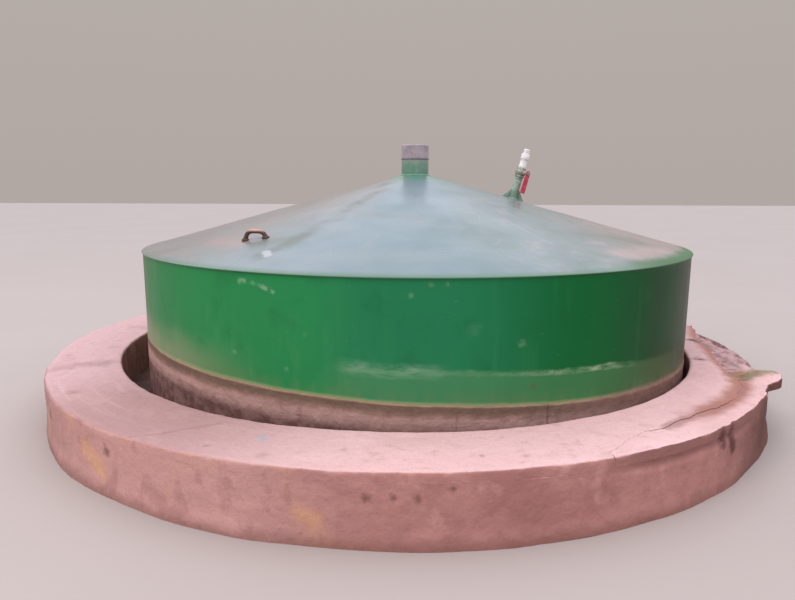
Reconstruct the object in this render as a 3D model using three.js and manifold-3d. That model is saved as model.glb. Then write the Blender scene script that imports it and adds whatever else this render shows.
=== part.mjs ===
// Floating-drum biogas digester, built from ground level up. Millimetres, +Z up, the front faces -Y.
// The origin is the centre of the ring wall at ground level.
import * as THREE from 'three';
import { mergeVertices } from 'three/addons/utils/BufferGeometryUtils.js';
import Module from 'manifold-3d';

const wasm = await Module();
wasm.setup();

// Working clearance between pieces that touch, and the angle of one facet of the round work
const GAP = 0.3;
const FACET = Math.PI / 48;
const FULL_TURN = 2 * Math.PI;
const RING_FACETS = 48;
const PIPE_FACETS = 32;
const FITTING_FACETS = 24;
const ROD_FACETS = 16;

// Ring wall of brick, plastered on both sides, with a cement screed on top
const PIT_R = 1158;
const WALL_T = 257;
const RING_R = PIT_R + WALL_T;
const RING_TOP = 196;
const SCREED_T = 28;
const SCREED_EDGE = 12;
const RING_SEGMENTS = 6;
const RING_START = -18 * FACET;

// The front right screed is cracked through: its outer strip has sunk and ends in a lip that sticks out.
// Past the lip the strip is gone, and so is the corner of the next segment's screed.
// Places along it are counted in facets from the segment's start.
const CRACK_W = 5;
const CRACK_IN = 76;
const CRACK_DRIFT = 46;
const CRACK_DRIFT_FROM = 9;
const CRACK_WAVES = [
  { swing: 14, rate: 2.3, start: 0 },
  { swing: 9, rate: 5.1, start: 1 },
];
const STRIP_SINK = 6;
const STRIP_STEPS = 12;
const LIP_OUT = 52;
const LIP_AT = 11.4;
const LIP_FALL = 0.6;
const BREAK_R = 1289;
const BREAK_STEPS = 5;
const BREAK_FLARE = 2.6;

// Steel gas holder, floating a little to the right of the pit's centre
const HOLDER_X = 42;
const DRUM_R = 1100;
const PLATE_T = 3;
const RIM_Z = 607;
const ROOF_SLOPE = 0.275;
const ROOF_LAP = 4;
const SKIRT_FOOT = 46;
const SIDE_PLATES = 3;
const ROOF_PLATES = 6;
const ANGLE_LEG = 40;
const ANGLE_T = 4;
const TOP_RING_Z = 560;

// Guide frame, guide pipe and the holder's guide sleeve
const BEAM = 40;
const BEAM_T = 4;
const BEAM_COUNT = 4;
const BEAM_TRIM_H = 160;
const SOCKET_R = 60;
const SOCKET_FLOOR = 8;
const PIPE_R = 44.45;
const PIPE_T = 6;
const PIPE_TOP = 900;
const PIPE_PLAY = 0.75;
const FLANGE_R = 64;
const FLANGE_T = 9.7;
const SLEEVE_R = 57.15;
const SLEEVE_T = 6;
const CAP_Z = 958;
const CAP_H = 62;
const BRACE = 30;
const BRACE_T = 4;
const BRACE_COUNT = 3;

// Lifting handles on the roof
const HANDLE_AT = new THREE.Vector2(-524, -682);
const HANDLE_TURN = THREE.MathUtils.degToRad(-7.4);
const HANDLE_W = 70;
const HANDLE_H = 32;
const HANDLE_BAR_R = 7;
const HANDLE_BEND_R = 15;
const HANDLE_STEPS = 24;
const HANDLE_BAR_SEGMENTS = 5;

// Gas outlet, square to the roof on the right of the apex
const OUTLET_ANGLE = 1.5 * FACET;
const OUTLET_R = 425;
const OUTLET_SEAT = 0.1;
const OUTLET_PIPE_R = 16.85;
const OUTLET_BORE_R = 13;
const OUTLET_PIPE_H = 98;
const GUSSET_W = 32;
const GUSSET_H = 42;
const GUSSET_T = 5;

// Ball valve, its stem turned towards the front so that the lever can be reached
const VALVE_H = 40;
const VALVE_BORE_R = 9;
const VALVE_END_R = 19.5;
const VALVE_END_H = 9;
const VALVE_BODY_R = 22;
const VALVE_SLOPE_H = 5;
const STEM_TURN = THREE.MathUtils.degToRad(-58);
const STEM_AT = 20;
const STEM_BOSS_R = 9;
const STEM_BOSS_OUT = 42;
const STEM_R = 5;
const STEM_OUT = 50;
const LEVER_T = 3;
const LEVER_PLAY = 0.4;
const LEVER_HEAD_R = 13;
const LEVER_REACH = 84;
const LEVER_TIP_W = 28;
const LEVER_SEGMENTS = 10;

// White fitting on the valve: a plain adaptor, a wider collar and a ribbed tail
const FITTING_BORE_R = 8;
const ADAPTOR_R = 15.5;
const ADAPTOR_H = 36;
const COLLAR_R = 18;
const COLLAR_H = 24;
const COLLAR_SLOPE_H = 2;
const TAIL_R = 12.5;
const TAIL_H = 21;
const TAIL_RIB = 1.8;
const TAIL_RIBS = 3;

const paint = {
  masonry: new THREE.MeshStandardMaterial({ color: 0xb98f80, roughness: 0.95, metalness: 0 }),
  screed: new THREE.MeshStandardMaterial({ color: 0xc9a79d, roughness: 0.95, metalness: 0 }),
  green: new THREE.MeshStandardMaterial({ color: 0x0f6b35, roughness: 0.35, metalness: 0.1 }),
  roof: new THREE.MeshStandardMaterial({ color: 0x4f8f7a, roughness: 0.4, metalness: 0.1 }),
  steel: new THREE.MeshStandardMaterial({ color: 0x4a4038, roughness: 0.8, metalness: 0.5 }),
  grey: new THREE.MeshStandardMaterial({ color: 0x6f7478, roughness: 0.6, metalness: 0.2 }),
  rust: new THREE.MeshStandardMaterial({ color: 0x6d4a40, roughness: 0.9, metalness: 0.3 }),
  valve: new THREE.MeshStandardMaterial({ color: 0x7c7f78, roughness: 0.5, metalness: 0.7 }),
  red: new THREE.MeshStandardMaterial({ color: 0xa8202a, roughness: 0.5, metalness: 0 }),
  white: new THREE.MeshStandardMaterial({ color: 0xd8dcd8, roughness: 0.5, metalness: 0 }),
};

const part = new THREE.Group();
const holder = new THREE.Group();
holder.position.x = HOLDER_X;
part.add(holder);

function addPiece(group, name, geometry, material) {
  const mesh = new THREE.Mesh(geometry, material);
  mesh.name = name;
  group.add(mesh);
  return mesh;
}

// A horizontal arc round the origin, as a path for swept sections
class Arc extends THREE.Curve {
  constructor(radius, start, sweep) {
    super();
    this.radius = radius;
    this.start = start;
    this.sweep = sweep;
  }

  getPoint(t, target = new THREE.Vector3()) {
    const angle = this.start + this.sweep * t;
    return target.set(this.radius * Math.cos(angle), this.radius * Math.sin(angle), 0);
  }
}

// A section given as [radius, height] points, swept round the axis from start to end.
// The section's own axes lie along -Z and towards the axis.
function sweptSection(section, start, end) {
  const pathR = section[0][0];
  const shape = new THREE.Shape(section.map(([r, z]) => new THREE.Vector2(-z, pathR - r)));
  const steps = Math.round((end - start) / FACET);
  const extrudePath = new Arc(pathR, start, end - start);
  return new THREE.ExtrudeGeometry(shape, { steps, extrudePath });
}

// A section turned all the way round the axis; it closes on itself
function turnedSection(section, segments) {
  const points = [...section, section[0]].map(([r, z]) => new THREE.Vector2(r, z));
  const geometry = new THREE.LatheGeometry(points, segments);
  geometry.rotateX(Math.PI / 2);
  return geometry;
}

// Open tube along Z, from the low to the high end
function tubeSection(outerR, innerR, low, high) {
  return [[innerR, low], [outerR, low], [outerR, high], [innerR, high]];
}

// A flat outline in the plane of X and Z, given its thickness along Y about the middle
function uprightPlate(outline, thickness) {
  const shape = new THREE.Shape(outline.map(([x, z]) => new THREE.Vector2(x, z)));
  const geometry = new THREE.ExtrudeGeometry(shape, { depth: thickness, bevelEnabled: false });
  geometry.translate(0, 0, -thickness / 2);
  geometry.rotateX(Math.PI / 2);
  return geometry;
}

function toSolid(geometry) {
  const bare = geometry.clone();
  bare.deleteAttribute('normal');
  bare.deleteAttribute('uv');
  const merged = mergeVertices(bare);
  const vertProperties = new Float32Array(merged.attributes.position.array);
  const triVerts = new Uint32Array(merged.index.array);
  return new wasm.Manifold(new wasm.Mesh({ numProp: 3, vertProperties, triVerts }));
}

function toGeometry(solid) {
  const mesh = solid.getMesh();
  const geometry = new THREE.BufferGeometry();
  geometry.setAttribute('position', new THREE.BufferAttribute(mesh.vertProperties, 3));
  geometry.setIndex(new THREE.BufferAttribute(mesh.triVerts, 1));
  return geometry;
}

function roofTop(r) {
  return RIM_Z + ROOF_SLOPE * (DRUM_R - r);
}

const ROOF_LEAN = Math.atan(ROOF_SLOPE);
const ROOF_DEPTH = PLATE_T / Math.cos(ROOF_LEAN);

function ringWall() {
  const span = FULL_TURN / RING_SEGMENTS;
  const inset = GAP / 2 / PIT_R;
  const wallTop = RING_TOP - SCREED_T - GAP;
  const wall = [[PIT_R, 0], [RING_R, 0], [RING_R, wallTop], [PIT_R, wallTop]];
  const screed = [
    [PIT_R, RING_TOP - SCREED_T],
    [RING_R, RING_TOP - SCREED_T],
    [RING_R, RING_TOP - SCREED_EDGE],
    [RING_R - SCREED_EDGE, RING_TOP],
    [PIT_R + SCREED_EDGE, RING_TOP],
    [PIT_R, RING_TOP - SCREED_EDGE],
  ];
  for (let i = 0; i < RING_SEGMENTS; i += 1) {
    const start = RING_START + i * span + inset;
    const end = RING_START + (i + 1) * span - inset;
    addPiece(part, `curb_wall_${i + 1}`, sweptSection(wall, start, end), paint.masonry);
    if (i > 0) {
      const whole = sweptSection(screed, start, end);
      addPiece(part, `coping_${i + 1}`, i === 1 ? brokenCorner(whole, start) : whole, paint.screed);
    }
  }
  crackedScreed(RING_START + inset, RING_START + span - inset);
}

function atAngle(r, angle) {
  return new THREE.Vector2(r * Math.cos(angle), r * Math.sin(angle));
}

// An outline in plan, raised from a low to a high level
function raised(outline, low, high) {
  const shape = new THREE.Shape(outline);
  const geometry = new THREE.ExtrudeGeometry(shape, { depth: high - low, bevelEnabled: false });
  geometry.translate(0, 0, low);
  return geometry;
}

// The second segment's screed without its outer corner, which broke away on a curve
function brokenCorner(whole, start) {
  const beyond = RING_R + SCREED_EDGE;
  const from = start - FACET;
  const outline = [atAngle(BREAK_R, from)];
  for (let k = 0; k <= BREAK_STEPS; k += 1) {
    const r = BREAK_R + (beyond - BREAK_R) * (k / BREAK_STEPS) ** BREAK_FLARE;
    outline.push(atAngle(r, start + k * FACET));
  }
  for (let k = BREAK_STEPS; k >= -1; k -= 1) {
    outline.push(atAngle(beyond + SCREED_EDGE, start + k * FACET));
  }
  const corner = raised(outline, 0, RING_TOP + SCREED_T);
  return toGeometry(toSolid(whole).subtract(toSolid(corner)));
}

// The first segment's screed, in plan: the sound inner part and the broken outer strip
function crackedScreed(start, end) {
  const bottom = RING_TOP - SCREED_T;
  const steps = Math.round((end - start) / FACET);
  const angles = Array.from({ length: steps + 1 }, (_, k) => start + (end - start) * k / steps);
  const drift = (k) => CRACK_DRIFT * Math.max(0, (k - CRACK_DRIFT_FROM) / (steps - CRACK_DRIFT_FROM));
  const wobble = (k) => CRACK_WAVES.reduce((sum, w) => sum + w.swing * Math.sin(w.rate * k + w.start), 0);
  const crackR = (k) => RING_R - CRACK_IN - drift(k) + wobble(k);

  const innerEdge = angles.map((a) => atAngle(PIT_R, a));
  const crack = angles.map((a, k) => atAngle(crackR(k), a));
  addPiece(part, 'coping_1', raised([...innerEdge, ...crack.reverse()], bottom, RING_TOP), paint.screed);

  const lip = (k) => LIP_OUT * Math.max(0, 1 - LIP_FALL * Math.abs(k - LIP_AT));
  const kept = angles.slice(0, STRIP_STEPS + 1);
  const crackOuter = kept.map((a, k) => atAngle(crackR(k) + CRACK_W, a));
  const outerEdge = kept.map((a, k) => atAngle(RING_R + lip(k), a));
  const strip = raised([...crackOuter, ...outerEdge.reverse()], bottom, RING_TOP - STRIP_SINK);
  addPiece(part, 'coping_broken_strip', strip, paint.screed);
}

// Channel beams from the socket to the wall, trimmed to the wall's inner face
function guideFrame() {
  const channel = [
    [-BEAM / 2, 0], [-BEAM / 2 + BEAM_T, 0], [-BEAM / 2 + BEAM_T, BEAM - BEAM_T],
    [BEAM / 2 - BEAM_T, BEAM - BEAM_T], [BEAM / 2 - BEAM_T, 0], [BEAM / 2, 0],
    [BEAM / 2, BEAM], [-BEAM / 2, BEAM],
  ];
  const trimR = PIT_R - GAP;
  const pit = new THREE.CylinderGeometry(trimR, trimR, BEAM_TRIM_H, Math.round(FULL_TURN / FACET));
  pit.rotateX(Math.PI / 2);
  pit.rotateZ(FACET);
  pit.translate(-HOLDER_X, 0, 0);
  const pitSolid = toSolid(pit);
  for (let i = 0; i < BEAM_COUNT; i += 1) {
    const beam = uprightPlate(channel, PIT_R);
    beam.rotateZ(Math.PI / 2);
    beam.translate(PIT_R / 2 + SOCKET_R + GAP, 0, 0);
    beam.rotateZ(FULL_TURN * (i + 0.5) / BEAM_COUNT);
    const trimmed = toGeometry(toSolid(beam).intersect(pitSolid));
    addPiece(holder, `guide_beam_${i + 1}`, trimmed, paint.steel);
  }
  const boreR = PIPE_R + PIPE_PLAY;
  const socket = [
    new THREE.Vector2(0, 0), new THREE.Vector2(SOCKET_R, 0), new THREE.Vector2(SOCKET_R, BEAM),
    new THREE.Vector2(boreR, BEAM),
    new THREE.Vector2(boreR, SOCKET_FLOOR),
    new THREE.Vector2(0, SOCKET_FLOOR),
  ];
  const socketGeometry = new THREE.LatheGeometry(socket, PIPE_FACETS);
  socketGeometry.rotateX(Math.PI / 2);
  addPiece(holder, 'guide_socket', socketGeometry, paint.steel);
}

function guidePipe() {
  const flangeLow = BEAM + GAP;
  const flangeHigh = flangeLow + FLANGE_T;
  const section = [
    [PIPE_R - PIPE_T, SOCKET_FLOOR + GAP],
    [PIPE_R, SOCKET_FLOOR + GAP],
    [PIPE_R, flangeLow],
    [FLANGE_R, flangeLow],
    [FLANGE_R, flangeHigh],
    [PIPE_R, flangeHigh],
    [PIPE_R, PIPE_TOP],
    [PIPE_R - PIPE_T, PIPE_TOP],
  ];
  addPiece(holder, 'guide_pipe', turnedSection(section, PIPE_FACETS), paint.steel);
}

function drumShell() {
  const sideTop = RIM_Z - ROOF_DEPTH - GAP;
  const side = tubeSection(DRUM_R, DRUM_R - PLATE_T, SKIRT_FOOT, sideTop);
  const sideSpan = FULL_TURN / SIDE_PLATES;
  const sideInset = GAP / 2 / DRUM_R;
  for (let i = 0; i < SIDE_PLATES; i += 1) {
    const start = i * sideSpan + sideInset;
    const plate = sweptSection(side, start, start + sideSpan - 2 * sideInset);
    addPiece(holder, `side_plate_${i + 1}`, plate, paint.green);
  }

  const eyeR = SLEEVE_R + GAP;
  const eaveR = DRUM_R + ROOF_LAP;
  const roof = [
    [eyeR, roofTop(eyeR) - ROOF_DEPTH],
    [eaveR, roofTop(eaveR) - ROOF_DEPTH],
    [eaveR, roofTop(eaveR)],
    [eyeR, roofTop(eyeR)],
  ];
  const roofSpan = FULL_TURN / ROOF_PLATES;
  const roofInset = GAP / DRUM_R;
  for (let i = 0; i < ROOF_PLATES; i += 1) {
    const start = i * roofSpan + roofInset;
    const plate = sweptSection(roof, start, start + roofSpan - 2 * roofInset);
    addPiece(holder, `roof_plate_${i + 1}`, plate, paint.roof);
  }
}

// Angle rings inside the shell, one under the roof and one at the skirt's foot
function shellRings() {
  const outR = DRUM_R - PLATE_T - GAP;
  const ringTop = RIM_Z - ROOF_DEPTH - GAP;
  const angleRing = (low, high) => [
    [outR - ANGLE_LEG, low], [outR, low], [outR, high],
    [outR - ANGLE_T, high], [outR - ANGLE_T, low + ANGLE_T], [outR - ANGLE_LEG, low + ANGLE_T],
  ];
  addPiece(holder, 'top_ring', turnedSection(angleRing(TOP_RING_Z, ringTop), RING_FACETS), paint.steel);
  const footTop = SKIRT_FOOT + ANGLE_LEG;
  addPiece(holder, 'foot_ring', turnedSection(angleRing(SKIRT_FOOT, footTop), RING_FACETS), paint.steel);
}

function guideSleeve() {
  const sleeveFoot = BEAM + 2 * GAP + FLANGE_T;
  const sleeve = tubeSection(SLEEVE_R, SLEEVE_R - SLEEVE_T, sleeveFoot, CAP_Z);
  addPiece(holder, 'guide_sleeve', turnedSection(sleeve, PIPE_FACETS), paint.green);

  const capLow = CAP_Z + GAP;
  const capTop = CAP_Z + CAP_H;
  const inner = SLEEVE_R - SLEEVE_T;
  const cap = [[inner, capLow], [SLEEVE_R, capLow], [SLEEVE_R, capTop], [0, capTop], [0, capTop - SLEEVE_T],
    [inner, capTop - SLEEVE_T]];
  addPiece(holder, 'sleeve_cap', turnedSection(cap, PIPE_FACETS), paint.grey);
}

// Ties from the sleeve to the shell: angle bars over the foot ring, and rafters under the roof
function innerBraces() {
  const fromR = SLEEVE_R + GAP;
  const toR = DRUM_R - PLATE_T - ANGLE_T - 2 * GAP;
  const length = toR - BRACE / 2 * Math.sin(FACET) - GAP - fromR;
  const tieZ = SKIRT_FOOT + ANGLE_T + GAP;
  const angle = [[0, 0], [BRACE, 0], [BRACE, BRACE_T], [BRACE_T, BRACE_T], [BRACE_T, BRACE], [0, BRACE]];
  const rafterUnder = (r) => roofTop(r) - ROOF_DEPTH - 2 * GAP;
  const rafter = [
    [fromR, rafterUnder(fromR)], [fromR, rafterUnder(fromR) - BRACE],
    [toR - GAP, rafterUnder(toR) - BRACE], [toR - GAP, rafterUnder(toR)],
  ];
  for (let i = 0; i < BRACE_COUNT; i += 1) {
    const turn = FULL_TURN * (i + 0.25) / BRACE_COUNT;
    const tie = uprightPlate(angle, length);
    tie.rotateZ(Math.PI / 2);
    tie.translate(fromR + length / 2, -BRACE / 2, tieZ);
    tie.rotateZ(turn);
    addPiece(holder, `foot_tie_${i + 1}`, tie, paint.steel);
    const bar = uprightPlate(rafter, BRACE_T);
    bar.rotateZ(turn);
    addPiece(holder, `roof_rafter_${i + 1}`, bar, paint.steel);
  }
}

// A bent bar: two legs and a top with rounded corners, standing on the roof
function handleGeometry() {
  const half = HANDLE_W / 2;
  const radial = HANDLE_AT.length();
  const across = new THREE.Vector2(Math.cos(HANDLE_TURN), Math.sin(HANDLE_TURN)).multiplyScalar(half);
  const seat = (side) => {
    const foot = HANDLE_AT.clone().addScaledVector(across, side);
    return roofTop(foot.length() - HANDLE_BAR_R) + GAP;
  };
  const topZ = roofTop(radial) + HANDLE_H - HANDLE_BAR_R;
  const path = new THREE.CurvePath();
  const corner = (x, z) => new THREE.Vector3(x * Math.cos(HANDLE_TURN), x * Math.sin(HANDLE_TURN), z);
  const bend = topZ - HANDLE_BEND_R;
  const inner = half - HANDLE_BEND_R;
  path.add(new THREE.LineCurve3(corner(-half, seat(-1)), corner(-half, bend)));
  path.add(new THREE.QuadraticBezierCurve3(corner(-half, bend), corner(-half, topZ), corner(-inner, topZ)));
  path.add(new THREE.LineCurve3(corner(-inner, topZ), corner(inner, topZ)));
  path.add(new THREE.QuadraticBezierCurve3(corner(inner, topZ), corner(half, topZ), corner(half, bend)));
  path.add(new THREE.LineCurve3(corner(half, bend), corner(half, seat(1))));
  const bar = new THREE.Shape();
  bar.absarc(0, 0, HANDLE_BAR_R, 0, FULL_TURN);
  const options = { steps: HANDLE_STEPS, curveSegments: HANDLE_BAR_SEGMENTS, extrudePath: path };
  const geometry = new THREE.ExtrudeGeometry(bar, options);
  geometry.translate(HANDLE_AT.x, HANDLE_AT.y, 0);
  return geometry;
}

function handles() {
  addPiece(holder, 'handle_1', handleGeometry(), paint.rust);
  const partner = addPiece(holder, 'handle_2', handleGeometry(), paint.rust);
  partner.rotation.z = Math.PI;
}

// A round rod along the valve's stem, between two distances from the outlet's axis
function stemRod(radius, from, to, z) {
  const geometry = new THREE.CylinderGeometry(radius, radius, to - from, ROD_FACETS);
  geometry.rotateZ(Math.PI / 2);
  geometry.translate((from + to) / 2, 0, z);
  geometry.rotateZ(STEM_TURN);
  return geometry;
}

// The outlet's own frame: Z square to the roof, X down its slope
function gasOutlet() {
  const turned = new THREE.Group();
  turned.rotation.z = OUTLET_ANGLE;
  holder.add(turned);
  const outlet = new THREE.Group();
  outlet.position.set(OUTLET_R, 0, roofTop(OUTLET_R));
  outlet.rotation.y = ROOF_LEAN;
  turned.add(outlet);

  const pipe = tubeSection(OUTLET_PIPE_R, OUTLET_BORE_R, OUTLET_SEAT, OUTLET_PIPE_H);
  addPiece(outlet, 'outlet_pipe', turnedSection(pipe, FITTING_FACETS), paint.green);

  const nearX = OUTLET_PIPE_R + GAP;
  const gusset = [[nearX, OUTLET_SEAT], [nearX + GUSSET_W, OUTLET_SEAT], [nearX, GUSSET_H]];
  addPiece(outlet, 'outlet_gusset_1', uprightPlate(gusset, GUSSET_T), paint.green);
  const other = addPiece(outlet, 'outlet_gusset_2', uprightPlate(gusset, GUSSET_T), paint.green);
  other.rotation.z = Math.PI;

  const stemZ = OUTLET_PIPE_H + STEM_AT;
  addPiece(outlet, 'valve_body', valveGeometry(stemZ), paint.valve);
  addPiece(outlet, 'valve_lever', leverGeometry(stemZ), paint.red);
  addPiece(outlet, 'outlet_fitting', fittingGeometry(OUTLET_PIPE_H + VALVE_H + GAP), paint.white);
}

// The valve: a round body with narrower ends, and the boss and stem that carry the lever
function valveGeometry(stemZ) {
  const low = OUTLET_PIPE_H + GAP;
  const high = OUTLET_PIPE_H + VALVE_H;
  const wideLow = low + VALVE_END_H + VALVE_SLOPE_H;
  const wideHigh = high - VALVE_END_H - VALVE_SLOPE_H;
  const body = [
    [VALVE_BORE_R, low], [VALVE_END_R, low], [VALVE_END_R, low + VALVE_END_H], [VALVE_BODY_R, wideLow],
    [VALVE_BODY_R, wideHigh], [VALVE_END_R, high - VALVE_END_H], [VALVE_END_R, high], [VALVE_BORE_R, high],
  ];
  const midR = (VALVE_BORE_R + VALVE_BODY_R) / 2;
  const valve = toSolid(turnedSection(body, FITTING_FACETS))
    .add(toSolid(stemRod(STEM_BOSS_R, midR, STEM_BOSS_OUT, stemZ)))
    .add(toSolid(stemRod(STEM_R, midR, STEM_OUT, stemZ)));
  return toGeometry(valve);
}

function fittingGeometry(base) {
  const collarLow = base + ADAPTOR_H;
  const collarTop = collarLow + COLLAR_H;
  const top = collarTop + TAIL_H;
  const section = [
    [FITTING_BORE_R, base], [ADAPTOR_R, base],
    [ADAPTOR_R, collarLow], [COLLAR_R, collarLow + COLLAR_SLOPE_H],
    [COLLAR_R, collarTop], [TAIL_R, collarTop],
  ];
  for (let i = 1; i < TAIL_RIBS; i += 1) {
    const ribZ = collarTop + TAIL_H * i / TAIL_RIBS;
    section.push([TAIL_R, ribZ], [TAIL_R + TAIL_RIB, ribZ]);
  }
  section.push([TAIL_R, top], [FITTING_BORE_R, top]);
  return turnedSection(section, FITTING_FACETS);
}

// A flat lever hanging from the stem, narrower at the tip
function leverGeometry(stemZ) {
  const shape = new THREE.Shape();
  shape.moveTo(-LEVER_TIP_W / 2, -LEVER_REACH);
  shape.lineTo(LEVER_TIP_W / 2, -LEVER_REACH);
  shape.lineTo(LEVER_HEAD_R, 0);
  shape.absarc(0, 0, LEVER_HEAD_R, 0, Math.PI);
  shape.lineTo(-LEVER_TIP_W / 2, -LEVER_REACH);
  const hole = new THREE.Path();
  hole.absarc(0, 0, STEM_R + LEVER_PLAY, 0, FULL_TURN, true);
  shape.holes.push(hole);
  const options = { depth: LEVER_T, bevelEnabled: false, curveSegments: LEVER_SEGMENTS };
  const geometry = new THREE.ExtrudeGeometry(shape, options);
  geometry.rotateX(Math.PI / 2);
  geometry.rotateZ(Math.PI / 2);
  geometry.translate(STEM_BOSS_OUT + GAP, 0, stemZ);
  geometry.rotateZ(STEM_TURN);
  return geometry;
}

ringWall();
guideFrame();
guidePipe();
drumShell();
shellRings();
guideSleeve();
innerBraces();
handles();
gasOutlet();

export default part;
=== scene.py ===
import math
from math import cos, exp, pi, radians, sin, tau

import bmesh
import bpy
from mathutils import Matrix, Vector, noise


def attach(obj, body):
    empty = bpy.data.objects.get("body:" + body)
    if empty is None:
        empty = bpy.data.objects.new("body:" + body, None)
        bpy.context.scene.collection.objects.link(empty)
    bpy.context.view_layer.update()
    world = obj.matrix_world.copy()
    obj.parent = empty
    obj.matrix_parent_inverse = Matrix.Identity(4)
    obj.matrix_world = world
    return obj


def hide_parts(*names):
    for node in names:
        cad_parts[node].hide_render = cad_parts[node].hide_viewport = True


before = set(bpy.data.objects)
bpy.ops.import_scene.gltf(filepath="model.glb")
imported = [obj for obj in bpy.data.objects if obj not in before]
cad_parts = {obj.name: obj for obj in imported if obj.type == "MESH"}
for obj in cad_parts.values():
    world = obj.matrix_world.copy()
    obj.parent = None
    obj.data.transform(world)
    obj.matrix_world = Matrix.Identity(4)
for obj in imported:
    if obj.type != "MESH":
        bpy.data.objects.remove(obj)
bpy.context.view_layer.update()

# The object's own sizes, in metres. Bearings are measured from the front (-Y) towards +X.
PIT_R = 1.158
RING_R = 1.415
RING_TOP = 0.196
SCREED_FOOT = 0.168
WALL_TOP = 0.1677
DRUM_X = 0.042
DRUM_R = 1.1
PLATE = 0.003
SKIRT_FOOT = 0.046
SIDE_TOP = 0.6036
CRUST_TOP = 0.252
CRUST_SLANT = -0.048
RIM_Z = 0.607
SLOPE = 0.275
EAVE_R = 1.104
EYE_R = 0.05745
SLEEVE_R = 0.05715
SLEEVE_WALL = 0.006
SLEEVE_FOOT = 0.0503
SLEEVE_TOP = 0.9578
CAP_FOOT = 0.9583
CAP_TOP = 1.02
OUTLET_BEARING = radians(95.625)
OUTLET_R = 0.425
SLURRY_TOP = 0.045
SLURRY_SKIN = 0.012
SHELL_AXIS = Matrix.Translation((DRUM_X, 0, 0))

# The screed's crack and broken edge, as bearing in degrees and radius
CRACK = [(22.5, 1.388), (24.6, 1.368), (27.0, 1.336), (29.9, 1.321), (33.5, 1.326), (36.0, 1.316),
         (39.2, 1.32), (42.0, 1.313), (45.8, 1.332), (50.5, 1.34), (55.0, 1.338), (59.0, 1.334),
         (62.5, 1.322), (66.0, 1.3), (69.0, 1.28), (73.0, 1.27), (77.0, 1.272), (82.5, 1.28),
         (86.3, 1.284), (90.0, 1.298), (93.8, 1.324), (97.5, 1.364), (99.5, 1.394), (101.2, 1.424)]
STRIP_FROM = radians(22.5)
LIP_END = 67.5
BREAK_END = 101.0


def roof_top(r):
    return RIM_Z + SLOPE * (DRUM_R - r)


def spread(low, high, count):
    """count numbers from low to high, both included."""
    return [low + (high - low) * i / (count - 1) for i in range(count)]


def grain(x, y, z, scale, depth=3):
    """Smooth noise about zero."""
    return noise.fractal(Vector((x, y, z)) * scale, 1.0, 2.0, depth)


def round_grain(turn, z, scale, depth):
    """Smooth noise that closes on itself round a turn."""
    return grain(cos(turn), sin(turn), z, scale, depth)


def step(value, low, high):
    """0 at low, 1 at high, and smooth between; low may be the larger."""
    t = min(1.0, max(0.0, (value - low) / (high - low)))
    return t * t * (3 - 2 * t)


def stretch(bearing, start, full, fade, end):
    """1 between the bearings full and fade, and 0 before start and past end, in degrees."""
    return step(bearing, radians(start), radians(full)) * step(bearing, radians(end), radians(fade))


def bell(value, centre, width):
    return exp(-((value - centre) / width) ** 2)


def between(points, at):
    """The value at a place on a run of (place, value) points."""
    for (a, va), (b, vb) in zip(points, points[1:]):
        if at <= b:
            t = max(0.0, (at - a) / (b - a))
            return va + (vb - va) * t
    return points[-1][1]


def facing(bearing):
    """The unit vector at a bearing, seen from above."""
    return sin(bearing), -cos(bearing)


def folded(bearing):
    """The bearing up to 100 degrees, then back to nothing, so that left and right meet behind."""
    return bearing * min(1.0, (pi - abs(bearing)) / radians(80))


def placed(degrees, r, z=0.0, centre_x=0.0):
    """The point at a bearing in degrees, a radius and a height."""
    x, y = facing(radians(degrees))
    return (centre_x + x * r, y * r, z)


def piece(name, mesh_from, look, nodes=(), body="gas_holder", sharp=38):
    """Turns a bmesh into a named piece that rides on a body."""
    bmesh.ops.remove_doubles(mesh_from, verts=mesh_from.verts, dist=1e-7)
    bmesh.ops.recalc_face_normals(mesh_from, faces=mesh_from.faces)
    mesh = bpy.data.meshes.new(name)
    mesh_from.to_mesh(mesh)
    mesh_from.free()
    mesh.materials.append(look)
    mesh.shade_smooth()
    mesh.set_sharp_from_angle(angle=radians(sharp))
    obj = bpy.data.objects.new(name, mesh)
    bpy.context.collection.objects.link(obj)
    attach(obj, body)
    if nodes:
        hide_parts(*nodes)


def loft(loops, closed, into=None):
    """Joins loops with the same number of points, one after another, into a closed skin."""
    mesh = into or bmesh.new()
    rows = [[mesh.verts.new(p) for p in loop] for loop in loops]
    pairs = list(zip(rows, rows[1:]))
    if closed:
        pairs.append((rows[-1], rows[0]))
    for near, far in pairs:
        for i in range(len(near)):
            j = (i + 1) % len(near)
            mesh.faces.new((near[i], near[j], far[j], far[i]))
    if not closed:
        mesh.faces.new(rows[0])
        mesh.faces.new(list(reversed(rows[-1])))
    return mesh


def sweep(section_at, bearings, closed, centre_x=0.0):
    """A section of (radius, height) points swept round an upright axis."""
    loops = []
    for bearing in bearings:
        x, y = facing(bearing)
        loops.append([(centre_x + x * r, y * r, z) for r, z in section_at(bearing)])
    return loft(loops, closed)


def lathe(profile, matrix, around=48, shape=None, into=None):
    """A closed profile of (radius, height) turned about Z; shape may change a radius."""
    loops = []
    for k in range(around):
        turn = tau * k / around
        loop = []
        for r, z in profile:
            out = shape(r, z, turn) if shape else r
            loop.append(matrix @ Vector((out * cos(turn), out * sin(turn), z)))
        loops.append(loop)
    return loft(loops, True, into)


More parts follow.
